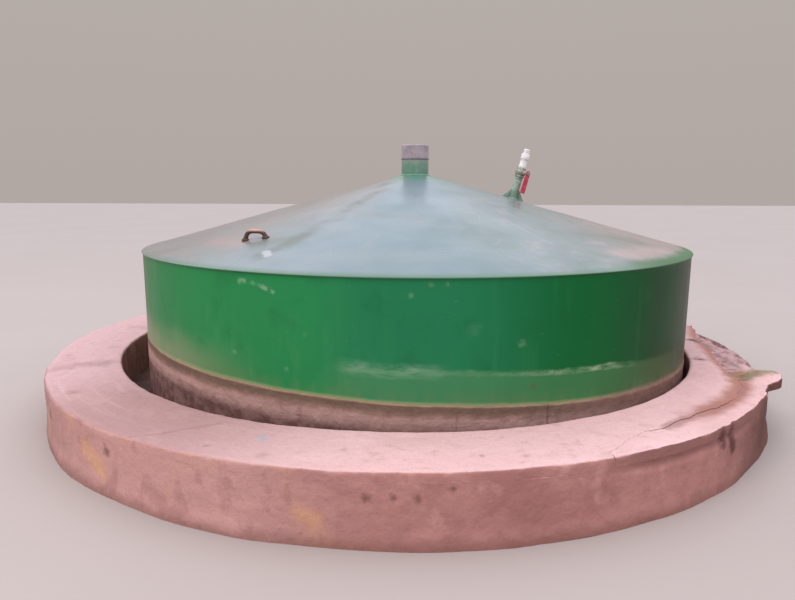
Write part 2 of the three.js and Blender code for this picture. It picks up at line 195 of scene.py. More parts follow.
def tube_along(path, radius_at, around=20, matrix=None, into=None):
    """A round bar along a path, with its own radius at each point and turn."""
    loops = []
    for i, point in enumerate(path):
        ahead = path[min(i + 1, len(path) - 1)]
        behind = path[max(i - 1, 0)]
        along = (ahead - behind).normalized()
        side = along.cross(Vector((0, 1, 0.001))).normalized()
        other = along.cross(side)
        loop = []
        for k in range(around):
            turn = tau * k / around
            r = radius_at(i, turn)
            at = point + side * (r * cos(turn)) + other * (r * sin(turn))
            loop.append(matrix @ at if matrix else at)
        loops.append(loop)
    return loft(loops, False, into)


def slab(outline, thickness, matrix, bevel, hole=(), rounds=2):
    """A flat outline in X and Z, given its thickness along Y, with softened edges."""
    mesh = bmesh.new()
    edges = []
    for ring in (outline, hole):
        loop = [mesh.verts.new((x, -thickness / 2, z)) for x, z in ring]
        edges += [mesh.edges.new((loop[i], loop[(i + 1) % len(loop)])) for i in range(len(loop))]
    bmesh.ops.triangle_fill(mesh, use_beauty=True, edges=edges)
    grown = bmesh.ops.extrude_face_region(mesh, geom=list(mesh.faces))
    moved = [g for g in grown["geom"] if isinstance(g, bmesh.types.BMVert)]
    bmesh.ops.translate(mesh, verts=moved, vec=(0, thickness, 0))
    bmesh.ops.recalc_face_normals(mesh, faces=mesh.faces)
    rims = [e for e in mesh.edges if e.calc_face_angle(0) > radians(30)]
    bmesh.ops.bevel(mesh, geom=rims, offset=bevel, segments=rounds, affect="EDGES", profile=0.6)
    bmesh.ops.transform(mesh, matrix=matrix, verts=mesh.verts)
    return mesh


def tint(red, green, blue):
    """A colour given as it shows on a screen, 0 to 255, made linear."""
    def line(value):
        value /= 255
        return value / 12.92 if value <= 0.04045 else ((value + 0.055) / 1.055) ** 2.4
    return (line(red), line(green), line(blue), 1.0)


def shade(value):
    """A socket as it is, a number as a grey, or three numbers as a colour that shows on a screen."""
    if isinstance(value, bpy.types.NodeSocket):
        return value
    if isinstance(value, float):
        return (value, value, value, 1.0)
    return tint(*value)


class Look:
    """A node material under construction. Its colour is built up layer by layer."""

    def __init__(self, name):
        self.material = bpy.data.materials.new(name)
        self.material.use_nodes = True
        self.nodes = self.material.node_tree.nodes
        self.links = self.material.node_tree.links
        self.shader = self.nodes["Principled BSDF"]
        self.place = self.nodes.new("ShaderNodeTexCoord").outputs["Object"]
        self.z = self.split(self.place)[2]

    def put(self, value, socket):
        if isinstance(value, bpy.types.NodeSocket):
            self.links.new(value, socket)
        else:
            socket.default_value = value

    def add(self, kind, inputs, **settings):
        """A new node with its settings and its inputs, each given by name or number; returns its outputs."""
        node = self.nodes.new("ShaderNode" + kind)
        for name, value in settings.items():
            setattr(node, name, value)
        for socket, value in inputs:
            self.put(value, node.inputs[socket])
        return node.outputs

    def split(self, vector):
        return self.add("SeparateXYZ", [(0, vector)])

    def join(self, *values):
        return self.add("CombineXYZ", enumerate(values))[0]

    def maths(self, operation, *values):
        return self.add("Math", enumerate(values), operation=operation)[0]

    def plus(self, first, second):
        return self.maths("ADD", first, second)

    def minus(self, first, second):
        return self.maths("SUBTRACT", first, second)

    def both(self, first, *others):
        """Masks multiplied together."""
        for other in others:
            first = self.maths("MULTIPLY", first, other)
        return first

    def vector(self, operation, *values):
        single = operation in ("LENGTH", "DISTANCE", "DOT_PRODUCT")
        outputs = self.add("VectorMath", enumerate(values), operation=operation)
        return outputs["Value" if single else "Vector"]

    def ramp(self, value, low, high):
        """0 at low, 1 at high, smooth between; low may be the larger."""
        inputs = [("Value", value), ("From Min", low), ("From Max", high)]
        return self.add("MapRange", inputs, interpolation_type="SMOOTHSTEP")[0]

    def round_axis(self, centre_x):
        """Sets radius, bearing and the direction away from an upright axis, and the place on plan."""
        offset = self.vector("SUBTRACT", self.place, (centre_x, 0, 0))
        from_axis = self.vector("MULTIPLY", offset, (1, 1, 0))
        self.radius = self.vector("LENGTH", from_axis)
        self.away = self.vector("NORMALIZE", from_axis)
        east, north, _ = self.split(self.away)
        self.bearing = self.maths("ARCTAN2", east, self.maths("MULTIPLY", north, -1.0))
        fold = self.ramp(self.maths("ABSOLUTE", self.bearing), pi, radians(100))
        self.folded = self.maths("MULTIPLY", self.bearing, fold)
        self.plan = self.vector("MULTIPLY", self.place, (1, 1, 0))

    def turned(self, low, high, bearing=None):
        """A ramp between two bearings in degrees."""
        return self.ramp(bearing or self.bearing, radians(low), radians(high))

    def flank(self, low, high):
        """The same on the folded bearing, which comes back to nothing behind, so that no step shows there."""
        return self.turned(low, high, self.folded)

    def stretch(self, start, full, fade, end, bearing=None):
        """1 between the bearings full and fade, and 0 before start and past end."""
        return self.both(self.turned(start, full, bearing), self.turned(end, fade, bearing))

    def noise(self, scale, detail=3.0, place=None, rough=0.55, twist=0.0):
        inputs = [("Vector", place or self.place), ("Scale", scale), ("Detail", detail),
                  ("Roughness", rough), ("Distortion", twist)]
        return self.add("TexNoise", inputs)["Fac"]

    def patches(self, low, high, scale, detail=4.0, **kind):
        """Noise cut to a mask by a ramp."""
        return self.ramp(self.noise(scale, detail, **kind), low, high)

    def stretched(self, x, y, z):
        """The place with each axis scaled by its own number."""
        return self.vector("MULTIPLY", self.place, (x, y, z))

    def lined(self, around, across):
        """A place whose noise is drawn out round the axis, scaled on its own around it and across it."""
        shift = self.join(0.0, 0.0, self.maths("MULTIPLY", self.radius, across))
        return self.vector("ADD", self.vector("MULTIPLY", self.away, (around, around, around)), shift)

    def shaken(self, value, scale, amount, detail=3.0):
        """A value pushed up and down by noise."""
        return self.plus(value, self.both(self.minus(self.noise(scale, detail), 0.5), amount))

    def mix(self, factor, low, high):
        """A colour between two, which fill the Mix node's colour inputs, 6 and 7."""
        inputs = [(0, factor), (6, shade(low)), (7, shade(high))]
        return self.add("Mix", inputs, data_type="RGBA")[2]

    def start(self, factor, low, high):
        """The first layer, a mix of two colours."""
        self.colour = self.mix(factor, low, high)

    def lay(self, colour, *masks):
        """Lays a colour over the layers below where all the masks let it."""
        self.colour = self.mix(self.both(*masks), self.colour, colour)

    def trail(self, place, points):
        """How far a place is from a run of straight stretches between points of two or three numbers."""
        nearest = None
        points = [Vector(point).to_3d() for point in points]
        for start, end in zip(points, points[1:]):
            along = end - start
            offset = self.vector("SUBTRACT", place, start)
            share = self.vector("DOT_PRODUCT", offset, along / along.length_squared)
            held = self.add("Clamp", [("Value", share)])[0]
            foot = self.vector("MULTIPLY", held, along)
            away = self.vector("DISTANCE", offset, foot)
            nearest = self.maths("MINIMUM", nearest, away) if nearest else away
        return nearest

    def streak(self, points, width, core, scale, amount, detail=4.0, place=None):
        """1 within core of a run of points and 0 past width from it, with a wavering edge."""
        away = self.trail(place or self.plan, points)
        return self.ramp(self.shaken(away, scale, amount, detail), width, core)

    def spot(self, centre, size, ragged, scale):
        """1 near a point and 0 past size from it, with a ragged edge."""
        away = self.vector("DISTANCE", self.place, centre)
        return self.ramp(self.shaken(away, scale, ragged * size), size, 0.0)

    def bump(self, height, depth, under=None):
        inputs = [("Strength", 1.0), ("Distance", depth), ("Height", height)]
        if under:
            inputs.append(("Normal", under))
        return self.add("Bump", inputs)["Normal"]

    def finish(self, roughness, normal=None, metal=0.0, gloss=0.5):
        inputs = self.shader.inputs
        self.put(self.colour, inputs["Base Color"])
        self.put(roughness, inputs["Roughness"])
        self.put(metal, inputs["Metallic"])
        self.put(gloss, inputs["Specular IOR Level"])
        if normal:
            self.put(normal, inputs["Normal"])
        return self.material


# Marks on the ring's top: place on plan, size, strength and colour
TOP_MARKS = [
    (-0.35, -1.219, 0.03, 0.6, (152, 164, 174)),
    (-0.479, -1.277, 0.016, 0.6, (128, 114, 100)),
    (-0.323, -1.333, 0.03, 0.35, (136, 108, 98)),
    (-1.037, -0.866, 0.034, 0.4, (128, 88, 84)),
    (-0.127, -1.29, 0.018, 0.35, (146, 112, 108)),
    (0.214, -1.314, 0.013, 0.5, (128, 98, 94)),
    (0.322, -1.31, 0.018, 0.4, (152, 116, 112)),
    # The last two darken small holes: painted shade in them.
    (1.254, -0.045, 0.046, 0.9, (76, 54, 50)),
    (1.14, -0.365, 0.042, 0.8, (100, 72, 68)),
]

# The line of the earth in the crack, as bearing in degrees and radius
TROUGH = [(34.0, 1.33), (50.5, 1.34), (59.0, 1.334), (66.0, 1.3), (75.0, 1.271), (86.3, 1.284),
          (93.8, 1.324), (99.5, 1.394)]

# Stains on the roof: colour, strength, width, scale and amount of waver, and points on plan
ROOF_STAINS = [
    ((112, 102, 90), 0.35, 0.046, 10.0, 0.07,
     [(-0.2, -0.5), (-0.129, -0.549), (-0.058, -0.585), (0.062, -0.612)]),
    ((150, 116, 106), 0.55, 0.07, 14.0, 0.09, [(-0.64, -0.6), (-0.54, -0.7)]),
    ((100, 100, 78), 0.5, 0.07, 14.0, 0.09, [(-0.45, -0.735), (-0.376, -0.753)]),
    ((92, 96, 76), 0.45, 0.11, 9.0, 0.12, [(0.64, -0.56), (0.693, -0.52), (0.83, -0.48)]),
    ((170, 140, 134), 0.6, 0.08, 12.0, 0.08, [(0.7, -0.74), (0.781, -0.678), (0.9, -0.56)]),
]


def trowel_strokes(k):
    """Noise drawn out round the ring."""
    return k.noise(1.0, 4.0, place=k.lined(4.0, 42.0), rough=0.6)


def ring_face_colour(k):
    """Rosy brown plaster with a few tan patches, greyer on the left; the lighter left front and the dark far
    right are painted light and shade.
    """
    cloud = k.noise(6.0, 5.0, twist=0.4)
    blotch = k.noise(15.0, 4.0, place=k.stretched(1, 1, 0.7))
    drips = k.noise(22.0, 3.0, place=k.stretched(1, 1, 0.22))
    k.start(k.ramp(cloud, 0.36, 0.66), (181, 128, 120), (163, 112, 106))
    # Lighter on the left: painted light.
    k.lay((200, 152, 144), k.flank(2, -18), 0.85)
    k.lay((168, 126, 121), k.flank(-30, -62), 0.85)
    k.lay((212, 160, 124), k.patches(0.54, 0.68, 4.2), k.flank(10, -14), 0.4)
    k.lay((154, 106, 102), k.ramp(blotch, 0.54, 0.68), 0.4)
    k.lay((206, 156, 146), k.ramp(blotch, 0.42, 0.3), 0.35)
    k.lay((158, 110, 106), k.ramp(drips, 0.55, 0.75), k.flank(18, -10), 0.25)
    # Dark on the far right: painted shade.
    k.lay((92, 60, 53), k.flank(38, 56), 0.9)
    for start, end, size in (((-0.884, -1.105, 0.107), (-0.821, -1.153, 0.069), 0.05),
                             ((-1.18, -0.781, 0.11), (-1.15, -0.824, 0.08), 0.045),
                             ((-0.226, -1.397, 0.084), (-0.2, -1.4, 0.07), 0.04)):
        tan_patch = k.streak([start, end], size, 0.0, 14.0, 0.06, 3.0, k.place)
        k.lay((214, 160, 120), tan_patch, 0.7)

    # Painted shadow under the screed's overhanging edge on the right, soil at the foot, small dark holes, two
    # stains
    under_edge_shadow = k.ramp(k.shaken(k.z, 14.0, 0.022, 4.0), 0.138, 0.158)
    # Painted shadow under the screed's edge.
    k.lay((142, 98, 92), under_edge_shadow, k.turned(19, 27), k.turned(60, 50), 0.85)
    k.lay((126, 84, 74), k.ramp(k.shaken(k.z, 7.0, 0.07, 4.0), 0.046, 0.002), 0.55)
    for degrees, z, size in ((-2.5, 0.131, 0.02), (0.0, 0.135, 0.015), (2.3, 0.131, 0.017),
                             (5.6, 0.154, 0.017), (-34.0, 0.135, 0.026), (-52.0, 0.127, 0.03)):
        k.lay((112, 76, 72), k.spot(placed(degrees, RING_R, z), size, 1.2, 60.0), 0.75)
    for start, end in (((0.905, -1.088, 0.166), (0.907, -1.086, 0.148)),
                       ((0.945, -1.053, 0.168), (0.956, -1.043, 0.116))):
        stain = k.streak([start, end], 0.032, 0.006, 40.0, 0.02, 3.0, k.place)
        k.lay((84, 52, 48), stain, 0.85)
    return k.colour


def ring_top_colour(k, gone):
    """Pink cement with faint trowel strokes; darker and mauve towards the left and duller on the far right,
    which is painted shade.
    """
    broad = k.noise(2.4, 4.0)
    cloud = k.noise(7.0, 5.0, twist=0.6)
    strokes = trowel_strokes(k)
    dabs = k.noise(24.0, 4.0)
    k.start(k.ramp(broad, 0.35, 0.65), (226, 184, 181), (216, 173, 169))
    # Darker and mauve towards the left front, and duller on the far right: painted shade.
    k.lay((171, 132, 128), k.flank(2, -30))
    k.lay((204, 166, 165), k.flank(-38, -64), 0.9)
    k.lay((198, 160, 156), k.flank(66, 96), 0.7)
    k.lay((224, 194, 190), k.ramp(strokes, 0.52, 0.78), 0.3)
    k.lay((176, 136, 130), k.ramp(dabs, 0.44, 0.3), 0.3)
    k.lay((160, 124, 122), k.ramp(cloud, 0.54, 0.72), k.flank(-20, -50), 0.45)
    k.lay((196, 158, 152), k.ramp(cloud, 0.46, 0.34), 0.3)

    # A darker sweep across the left, and a fine crease where two batches of screed meet, drawn as a painted
    # shadow line
    darker = [(-1.265, -0.645), (-1.19, -0.545), (-1.1, -0.51)]
    k.lay((146, 110, 108), k.streak(darker, 0.07, 0.0, 13.0, 0.1), 0.38)
    crease_shadow = [(-0.7, -1.225), (-0.629, -1.201), (-0.562, -1.155), (-0.489, -1.114)]
    k.lay((146, 110, 106), k.streak(crease_shadow, 0.014, 0.0, 40.0, 0.016, 3.0), 0.4)

    # Brown earth in the crack and round the broken edge, bare brown masonry past the lip, moss behind it
    trough = k.trail(k.plan, [placed(degrees, r) for degrees, r in TROUGH])
    trough = k.shaken(trough, 16.0, 0.05, 4.0)
    opened = k.turned(36, 46)
    k.lay((160, 116, 110), k.ramp(trough, 0.03, 0.006), k.turned(27, 36), 0.75)
    k.lay((166, 114, 100), k.ramp(trough, 0.058, 0.01), opened, 0.9)
    bare = k.both(gone, k.ramp(k.z, 0.186, 0.178))
    rubble = k.mix(k.patches(0.36, 0.6, 30.0), (146, 110, 108), (188, 150, 146))
    paler = k.both(k.turned(79, 74), k.ramp(k.radius, 1.33, 1.36), 0.75)
    rubble = k.mix(paler, rubble, (204, 168, 164))
    k.lay(rubble, bare, 0.9)
    moss = k.streak([(1.195, -0.595), (1.27, -0.545), (1.335, -0.54)], 0.058, 0.018, 22.0, 0.07)
    k.lay(k.mix(k.ramp(dabs, 0.4, 0.6), (112, 100, 66), (150, 132, 98)), moss, 0.8)
    return k.colour


def masonry_look():
    """Weathered cement coloured by slope, the face darker and redder than the top, partly as its own plaster
    and partly as painted shade; the pit's side damp.
    """
    k = Look("ring_masonry")
    k.round_axis(0.0)
    normal_up = k.split(k.nodes.new("ShaderNodeNewGeometry").outputs["Normal"])[2]
    gone = k.stretch(66.4, 68.0, 100, 102)
    upward = k.ramp(k.shaken(normal_up, 40.0, 0.24), 0.45, 0.85)
    upward = k.maths("MAXIMUM", upward, k.both(gone, k.ramp(k.z, 0.134, 0.148)))
    fine = k.noise(150.0, 3.0)
    sand = k.noise(520.0, 2.0)

    face = ring_face_colour(k)
    top = ring_top_colour(k, gone)
    # Face below and top above, by slope; the face's darker colour is partly painted shade.
    k.start(upward, face, top)
    for x, y, size, strength, colour in TOP_MARKS:
        k.lay(colour, k.spot((x, y, RING_TOP), size, 1.1, 45.0), upward, strength)
    in_crack = k.both(k.ramp(k.z, 0.1905, 0.182), k.turned(23, 26), k.turned(68, 66),
                      k.ramp(k.radius, 1.4, 1.385), k.ramp(k.radius, 1.24, 1.27))
    k.lay((164, 116, 106), in_crack, 0.85)
    inside = k.both(k.ramp(k.radius, 1.172, 1.164), k.ramp(k.z, 0.196, 0.186))
    streaks = k.patches(0.35, 0.65, 19.0, place=k.stretched(1, 1, 0.35))
    k.lay(k.mix(streaks, (170, 138, 124), (140, 110, 99)), inside)
    k.lay((122, 88, 82), k.ramp(fine, 0.46, 0.26), 0.2)
    k.lay((226, 204, 198), k.ramp(sand, 0.62, 0.75), 0.18)

    strokes = trowel_strokes(k)
    height = k.plus(k.both(fine, 0.5), k.both(sand, 0.25))
    height = k.plus(height, k.both(strokes, upward, 0.8))
    normal = k.bump(k.noise(28.0, 4.0), 0.006)
    return k.finish(0.92, k.bump(height, 0.0012, normal), gloss=0.2)


def side_look():
    """Green enamel with scuffs and a band of dried slurry at the foot; painted light, shade and reflections
    lie in its colour, among them a paler belt.
    """
    k = Look("side_enamel")
    k.round_axis(DRUM_X)
    slant = k.both(k.maths("SINE", k.bearing), CRUST_SLANT)
    above = k.minus(k.z, k.plus(k.shaken(slant, 5.0, 0.01), CRUST_TOP))
    runs = k.noise(20.0, 3.0, place=k.stretched(1, 1, 0.1))
    cloud = k.noise(9.0, 4.0)
    mottled = k.noise(34.0, 4.0)
    specks = k.noise(110.0, 2.0)
    fuzz = k.noise(24.0, 5.0, place=k.stretched(0.7, 0.7, 2.6), rough=0.65)

    # Enamel: warm green on the left, cooler in front. The lighter band on the left is painted light, the
    # dark, dull green and brown on the right are painted shade and reflection, and the olive patch far on the
    # left is a painted reflection.
    k.start(k.flank(-34, -4), (36, 123, 67), (32, 119, 76))
    k.lay((40, 134, 74), k.flank(-50, -36), k.flank(-6, -16), 0.7)
    k.lay((8, 96, 46), k.flank(4, 26))
    k.lay((12, 58, 24), k.flank(24, 48), 0.95)
    k.lay((44, 47, 21), k.stretch(46, 64, 70, 86), 0.8)
    k.lay((78, 92, 48), k.stretch(-50, -68, -72, -100, k.shaken(k.bearing, 3.0, 0.3)), 0.58)
    k.lay((54, 132, 80), k.ramp(runs, 0.54, 0.74), 0.22)
    k.lay((20, 92, 50), k.ramp(cloud, 0.56, 0.72), 0.25)
    k.lay((134, 144, 108), k.ramp(k.shaken(above, 9.0, 0.06), 0.135, 0.01), k.flank(-20, -47), 0.78)
    smears = k.patches(0.46, 0.72, 22.0, 3.0, place=k.stretched(1, 1, 0.34))
    k.lay((84, 148, 92), smears, k.flank(0, -12), k.ramp(above, 0.3, 0.06), 0.26)

    # A paler belt, a painted reflection of the ring's pale top, with brighter painted lines along its upper
    # edge.
    # The points are bearing in degrees and height, on the side unrolled to a sheet.
    unrolled = k.join(k.both(k.bearing, DRUM_R), 0.0, k.z)
    reflected_edge = [(-11, 0.356), (-5.8, 0.347), (2, 0.344), (6.8, 0.341), (12.7, 0.333), (19.9, 0.327),
           (25.2, 0.325), (30.1, 0.322), (35.8, 0.317), (46, 0.297), (58, 0.276)]
    from_reflected_edge = k.trail(unrolled, [(radians(degrees) * DRUM_R, 0.0, z) for degrees, z in reflected_edge])
    from_reflected_edge = k.shaken(from_reflected_edge, 22.0, 0.016)
    reflection_top = k.plus(k.both(k.bearing, -0.052), 0.351)
    under = k.ramp(k.shaken(k.minus(k.z, reflection_top), 12.0, 0.012), 0.01, -0.012)
    ring_reflection = k.both(under, k.stretch(-14, -8, 44, 64))
    # Painted reflection of the ring's top.
    k.lay(k.mix(k.turned(24, 52), (86, 142, 92), (88, 102, 64)), ring_reflection, 0.43)
    for colour, strength, width, core, reach, low, high in (
            ((120, 162, 130), 0.8, 0.03, 0.004, (-12, -8, 0, 7), 0.28, 0.72),
            ((108, 150, 112), 0.55, 0.012, 0.001, (-2, 4, 36, 42), 0.26, 0.66),
            ((152, 170, 134), 0.85, 0.013, 0.002, (14, 21, 32, 36), 0.38, 0.7)):
        k.lay(colour, k.ramp(from_reflected_edge, width, core), k.stretch(*reach), k.ramp(fuzz, low, high), strength)

    # Chalky scuffs high on the left and small pale marks
    scar = [(-27.2, 0.575), (-25.2, 0.576), (-23.5, 0.569), (-22.1, 0.561), (-21.0, 0.552)]
    scar = [(radians(degrees) * DRUM_R, 0.0, z) for degrees, z in scar]
    scuff = k.streak(scar, 0.011, 0.001, 45.0, 0.022, place=unrolled)
    k.lay((142, 176, 142), scuff, k.patches(0.4, 0.66, 34.0), 0.66)
    for degrees, z, size, strength in (
            (16.0, 0.416, 0.018, 0.28), (-28.8, 0.361, 0.013, 0.4), (-19.0, 0.332, 0.01, 0.3),
            (-15.9, 0.436, 0.012, 0.12), (2.4, 0.586, 0.011, 0.28), (4.9, 0.586, 0.01, 0.28),
            (-0.3, 0.556, 0.012, 0.3), (8.8, 0.461, 0.03, 0.08)):
        mark = k.spot(placed(degrees, DRUM_R, z, DRUM_X), size, 1.6, 90.0)
        k.lay((134, 168, 128), mark, strength)
    k.lay((98, 78, 54), k.spot((0.382, -1.046, 0.292), 0.016, 1.2, 70.0), 0.5)
    k.lay((112, 148, 110), k.ramp(specks, 0.72, 0.78), 0.35)
    # Darker just under the eave: painted shade.
    k.lay((14, 84, 46), k.ramp(k.z, 0.582, 0.6), 0.22)
    green = k.colour

    # Dried slurry: a thin tan line, a dark tide mark, then pinkish brown, darker towards the foot by the
    # pit's edge and on the right, both painted shade
    banded = k.noise(18.0, 4.0, place=k.stretched(0.4, 0.4, 3.4))
    level = k.shaken(above, 15.0, 0.024, 4.0)
    k.start(k.ramp(mottled, 0.34, 0.66), (186, 146, 136), (166, 127, 118))
    k.lay((130, 96, 88), k.ramp(banded, 0.5, 0.66), 0.45)
    k.lay((192, 152, 142), k.ramp(level, -0.036, -0.046), k.ramp(level, -0.068, -0.056), 0.55)
    # Darker towards the foot by the pit's edge: painted shade.
    low = k.mix(k.patches(0.38, 0.62, 30.0), (134, 98, 92), (98, 66, 62))
    k.lay(low, k.ramp(level, -0.064, -0.096), 0.9)
    # Darker on the right: painted shade.
    k.lay((118, 80, 70), k.flank(14, 44), 0.6)
    tide = k.both(k.ramp(above, -0.002, -0.007), k.ramp(above, -0.046, -0.018))
    soft_right = k.flank(42, 18)
    k.lay((100, 84, 66), tide, k.plus(k.both(soft_right, 0.55), 0.25))
    drips = k.patches(0.62, 0.72, 46.0, 2.0, place=k.stretched(1, 1, 0.16))
    k.lay((108, 78, 72), drips, k.ramp(above, -0.018, -0.04), 0.3)
    from_seam = k.maths("ABSOLUTE", k.minus(k.bearing, radians(20.6)))
    k.lay((90, 64, 58), k.ramp(from_seam, 0.005, 0.001), 0.5)
    edge = k.plus(k.both(k.flank(22, 44), 0.016), 0.004)
    k.start(k.ramp(above, edge, -0.004), green, k.colour)
    fringe = k.both(k.ramp(above, 0.009, 0.003), k.ramp(above, -0.006, -0.001))
    k.lay((146, 134, 94), fringe, soft_right, 0.62)
    dusted = k.both(k.ramp(above, 0.055, 0.0), k.ramp(above, -0.004, 0.002))
    k.lay((118, 126, 86), dusted, k.ramp(runs, 0.3, 0.7), 0.3)

    clean = k.ramp(above, -0.002, 0.012)
    roughness = k.mix(clean, 0.92, k.mix(k.ramp(runs, 0.4, 0.75), 0.38, 0.45))
    normal = k.bump(k.noise(3.2, 2.0), 0.005)
    crusted = k.both(k.plus(mottled, k.both(specks, 0.6)), k.minus(1.0, clean))
    height = k.plus(k.both(k.noise(90.0, 2.0), 0.05), crusted)
    return k.finish(roughness, k.bump(height, 0.003, normal), gloss=0.13)


def roof_look():
    """The same enamel, chalky, dusty and glossy, with painted reflections of the sky and the surroundings in
    its colour.
    """
    k = Look("roof_enamel")
    k.round_axis(DRUM_X)
    broad = k.noise(2.0, 4.0, twist=0.4)
    cloud = k.noise(6.0, 4.0)
    runs = k.noise(1.0, 4.0, place=k.lined(13.0, 1.5), rough=0.6)
    rings = k.noise(1.0, 3.0, place=k.lined(2.4, 16.0))
    specks = k.noise(95.0, 2.0)

    # Blue-grey: a painted reflection of the sky over the green enamel. The grey-brown on the left and the
    # grey-green and pinkish brown on the right are painted reflections too; one grey closes the ring behind.
    k.start(k.ramp(broad, 0.32, 0.68), (110, 124, 130), (98, 117, 119))
    turn = k.shaken(k.folded, 1.7, 0.8)
    k.lay((128, 111, 98), k.turned(-12, -56, turn), 0.72)
    k.lay((102, 112, 106), k.turned(2, 34, turn), 0.78)
    k.lay((152, 126, 116), k.turned(30, 66, turn), k.ramp(k.radius, 0.45, 0.85), 0.75)
    k.lay((118, 116, 110), k.turned(108, 156, k.shaken(k.maths("ABSOLUTE", k.bearing), 1.7, 0.6)), 0.7)
    k.lay((120, 126, 116), k.ramp(runs, 0.56, 0.72), 0.22)
    k.lay((118, 132, 138), k.ramp(runs, 0.44, 0.3), 0.22)
    k.lay((126, 124, 114), k.ramp(rings, 0.54, 0.7), 0.2)
    k.lay((82, 112, 98), k.ramp(cloud, 0.58, 0.74), 0.25)

    mottled = k.noise(8.5, 5.0, rough=0.6, twist=1.1)
    right = k.both(k.turned(6, 30, turn), k.ramp(k.radius, 0.3, 0.62))
    k.lay((92, 108, 84), k.ramp(mottled, 0.52, 0.64), right, 0.5)
    k.lay((152, 134, 128), k.ramp(mottled, 0.46, 0.36), right, 0.42)

    # A faint run down the left with a branch, dust and grime by the handle, dull patches on the right
    long_run = [(-0.075, -0.15), (-0.102, -0.241), (-0.176, -0.423), (-0.244, -0.603),
                (-0.325, -0.732), (-0.359, -0.807), (-0.416, -0.877)]
    stain = k.both(k.streak(long_run, 0.05, 0.0, 10.0, 0.07), k.ramp(cloud, 0.32, 0.62))
    k.lay((100, 100, 78), stain, 0.45)
    for colour, strength, width, scale, amount, points in ROOF_STAINS:
        k.lay(colour, k.streak(points, width, 0.0, scale, amount), strength)

    # A white dropping, green paint along the rim and at the apex, moss at the rim on the right
    dropping = k.streak([(-0.412, -0.84), (-0.398, -0.878)], 0.019, 0.007, 60.0, 0.012, 3.0)
    k.lay((186, 184, 184), dropping, 0.65)
    k.lay((66, 104, 76), k.ramp(k.radius, 1.066, 1.101), k.turned(-76, -34, turn), 0.88)
    k.lay((72, 122, 96), k.ramp(k.shaken(k.radius, 9.0, 0.1), 0.23, 0.06), 0.65)
    mossy = k.ramp(k.shaken(k.radius, 9.0, 0.05), 1.03, 1.08)
    mossy = k.both(mossy, k.turned(30, 48), k.turned(120, 90))
    k.lay((60, 98, 52), mossy, 0.85)
    k.lay((80, 92, 80), k.ramp(specks, 0.72, 0.79), 0.18)

    normal = k.bump(k.noise(2.6, 3.0), 0.005)
    normal = k.bump(k.plus(k.both(k.noise(70.0, 3.0), 0.5), k.both(specks, 0.3)), 0.0004, normal)
    chalky = k.mix(k.ramp(cloud, 0.3, 0.7), 0.26, 0.38)
    chalky = k.mix(k.both(stain, 0.6), chalky, 0.6)
    chalky = k.mix(k.maths("MAXIMUM", dropping, mossy), chalky, 0.75)
    return k.finish(chalky, normal)


def sleeve_look():
    """The same enamel on the sleeve, chipped, dusty and greyed towards the top."""
    k = Look("sleeve_enamel")
    cloud = k.noise(20.0, 4.0)
    dust = k.noise(60.0, 4.0)
    k.start(k.ramp(cloud, 0.35, 0.65), (84, 132, 104), (112, 142, 124))
    k.lay((152, 154, 148), k.ramp(k.shaken(k.z, 30.0, 0.03), 0.925, 0.952), 0.55)
    k.lay((96, 140, 118), k.ramp(k.z, 0.915, 0.892), 0.6)
    k.lay((150, 164, 152), k.ramp(dust, 0.54, 0.7), 0.4)
    k.lay((98, 68, 54), k.patches(0.68, 0.74, 110.0, 2.0), 0.7)
    normal = k.bump(k.plus(k.both(cloud, 0.6), k.both(dust, 0.4)), 0.0015)
    return k.finish(k.mix(dust, 0.36, 0.58), normal, gloss=0.4)


def outlet_look():
    """The outlet pipe's thin old paint, greyed by weather, darker low down: partly the webs' darker paint,
    partly painted shade between the webs and the pipe.
    """
    k = Look("outlet_paint")
    cloud = k.noise(60.0, 4.0)
    chips = k.noise(180.0, 3.0)
    k.start(k.ramp(cloud, 0.35, 0.65), (132, 158, 140), (168, 180, 166))
    # Darker low down: partly darker paint, partly painted shade between webs and pipe.
    k.lay((92, 122, 102), k.ramp(k.z, 0.842, 0.815), 0.55)
    k.lay((126, 104, 88), k.ramp(chips, 0.6, 0.68), 0.6)
    normal = k.bump(k.plus(cloud, k.both(chips, 0.5)), 0.001)
    return k.finish(k.mix(chips, 0.36, 0.58), normal, gloss=0.4)


def cap_look():
    """Grey end cap, sun-bleached and dusty."""
    k = Look("grey_cap")
    cloud = k.noise(24.0, 4.0)
    dust = k.noise(130.0, 3.0)
    rings = k.noise(1.0, 2.0, place=k.stretched(4, 4, 420))
    k.start(k.ramp(cloud, 0.35, 0.65), (146, 130, 136), (164, 150, 154))
    k.lay((190, 180, 178), k.ramp(dust, 0.52, 0.68), 0.4)
    # Darker towards its foot: painted shade at the joint with the sleeve.
    k.lay((108, 100, 100), k.ramp(k.z, 0.972, 0.96), 0.5)
    normal = k.bump(k.plus(k.both(rings, 0.5), dust), 0.0005)
    return k.finish(k.mix(cloud, 0.5, 0.66), normal)


def rust_look():
    """A bare rusty bar: dark legs, pinkish dry rust on top."""
    k = Look("rusty_bar")
    flakes = k.noise(150.0, 4.0)
    broad = k.noise(38.0, 3.0)
    dark = k.mix(flakes, (64, 46, 42), (104, 74, 62))
    dry = k.mix(flakes, (184, 136, 120), (226, 180, 164))
    k.start(k.both(k.ramp(k.z, 0.694, 0.706), k.ramp(broad, 0.2, 0.42)), dark, dry)
    return k.finish(k.mix(flakes, 0.75, 0.95), k.bump(flakes, 0.0016), metal=0.1)


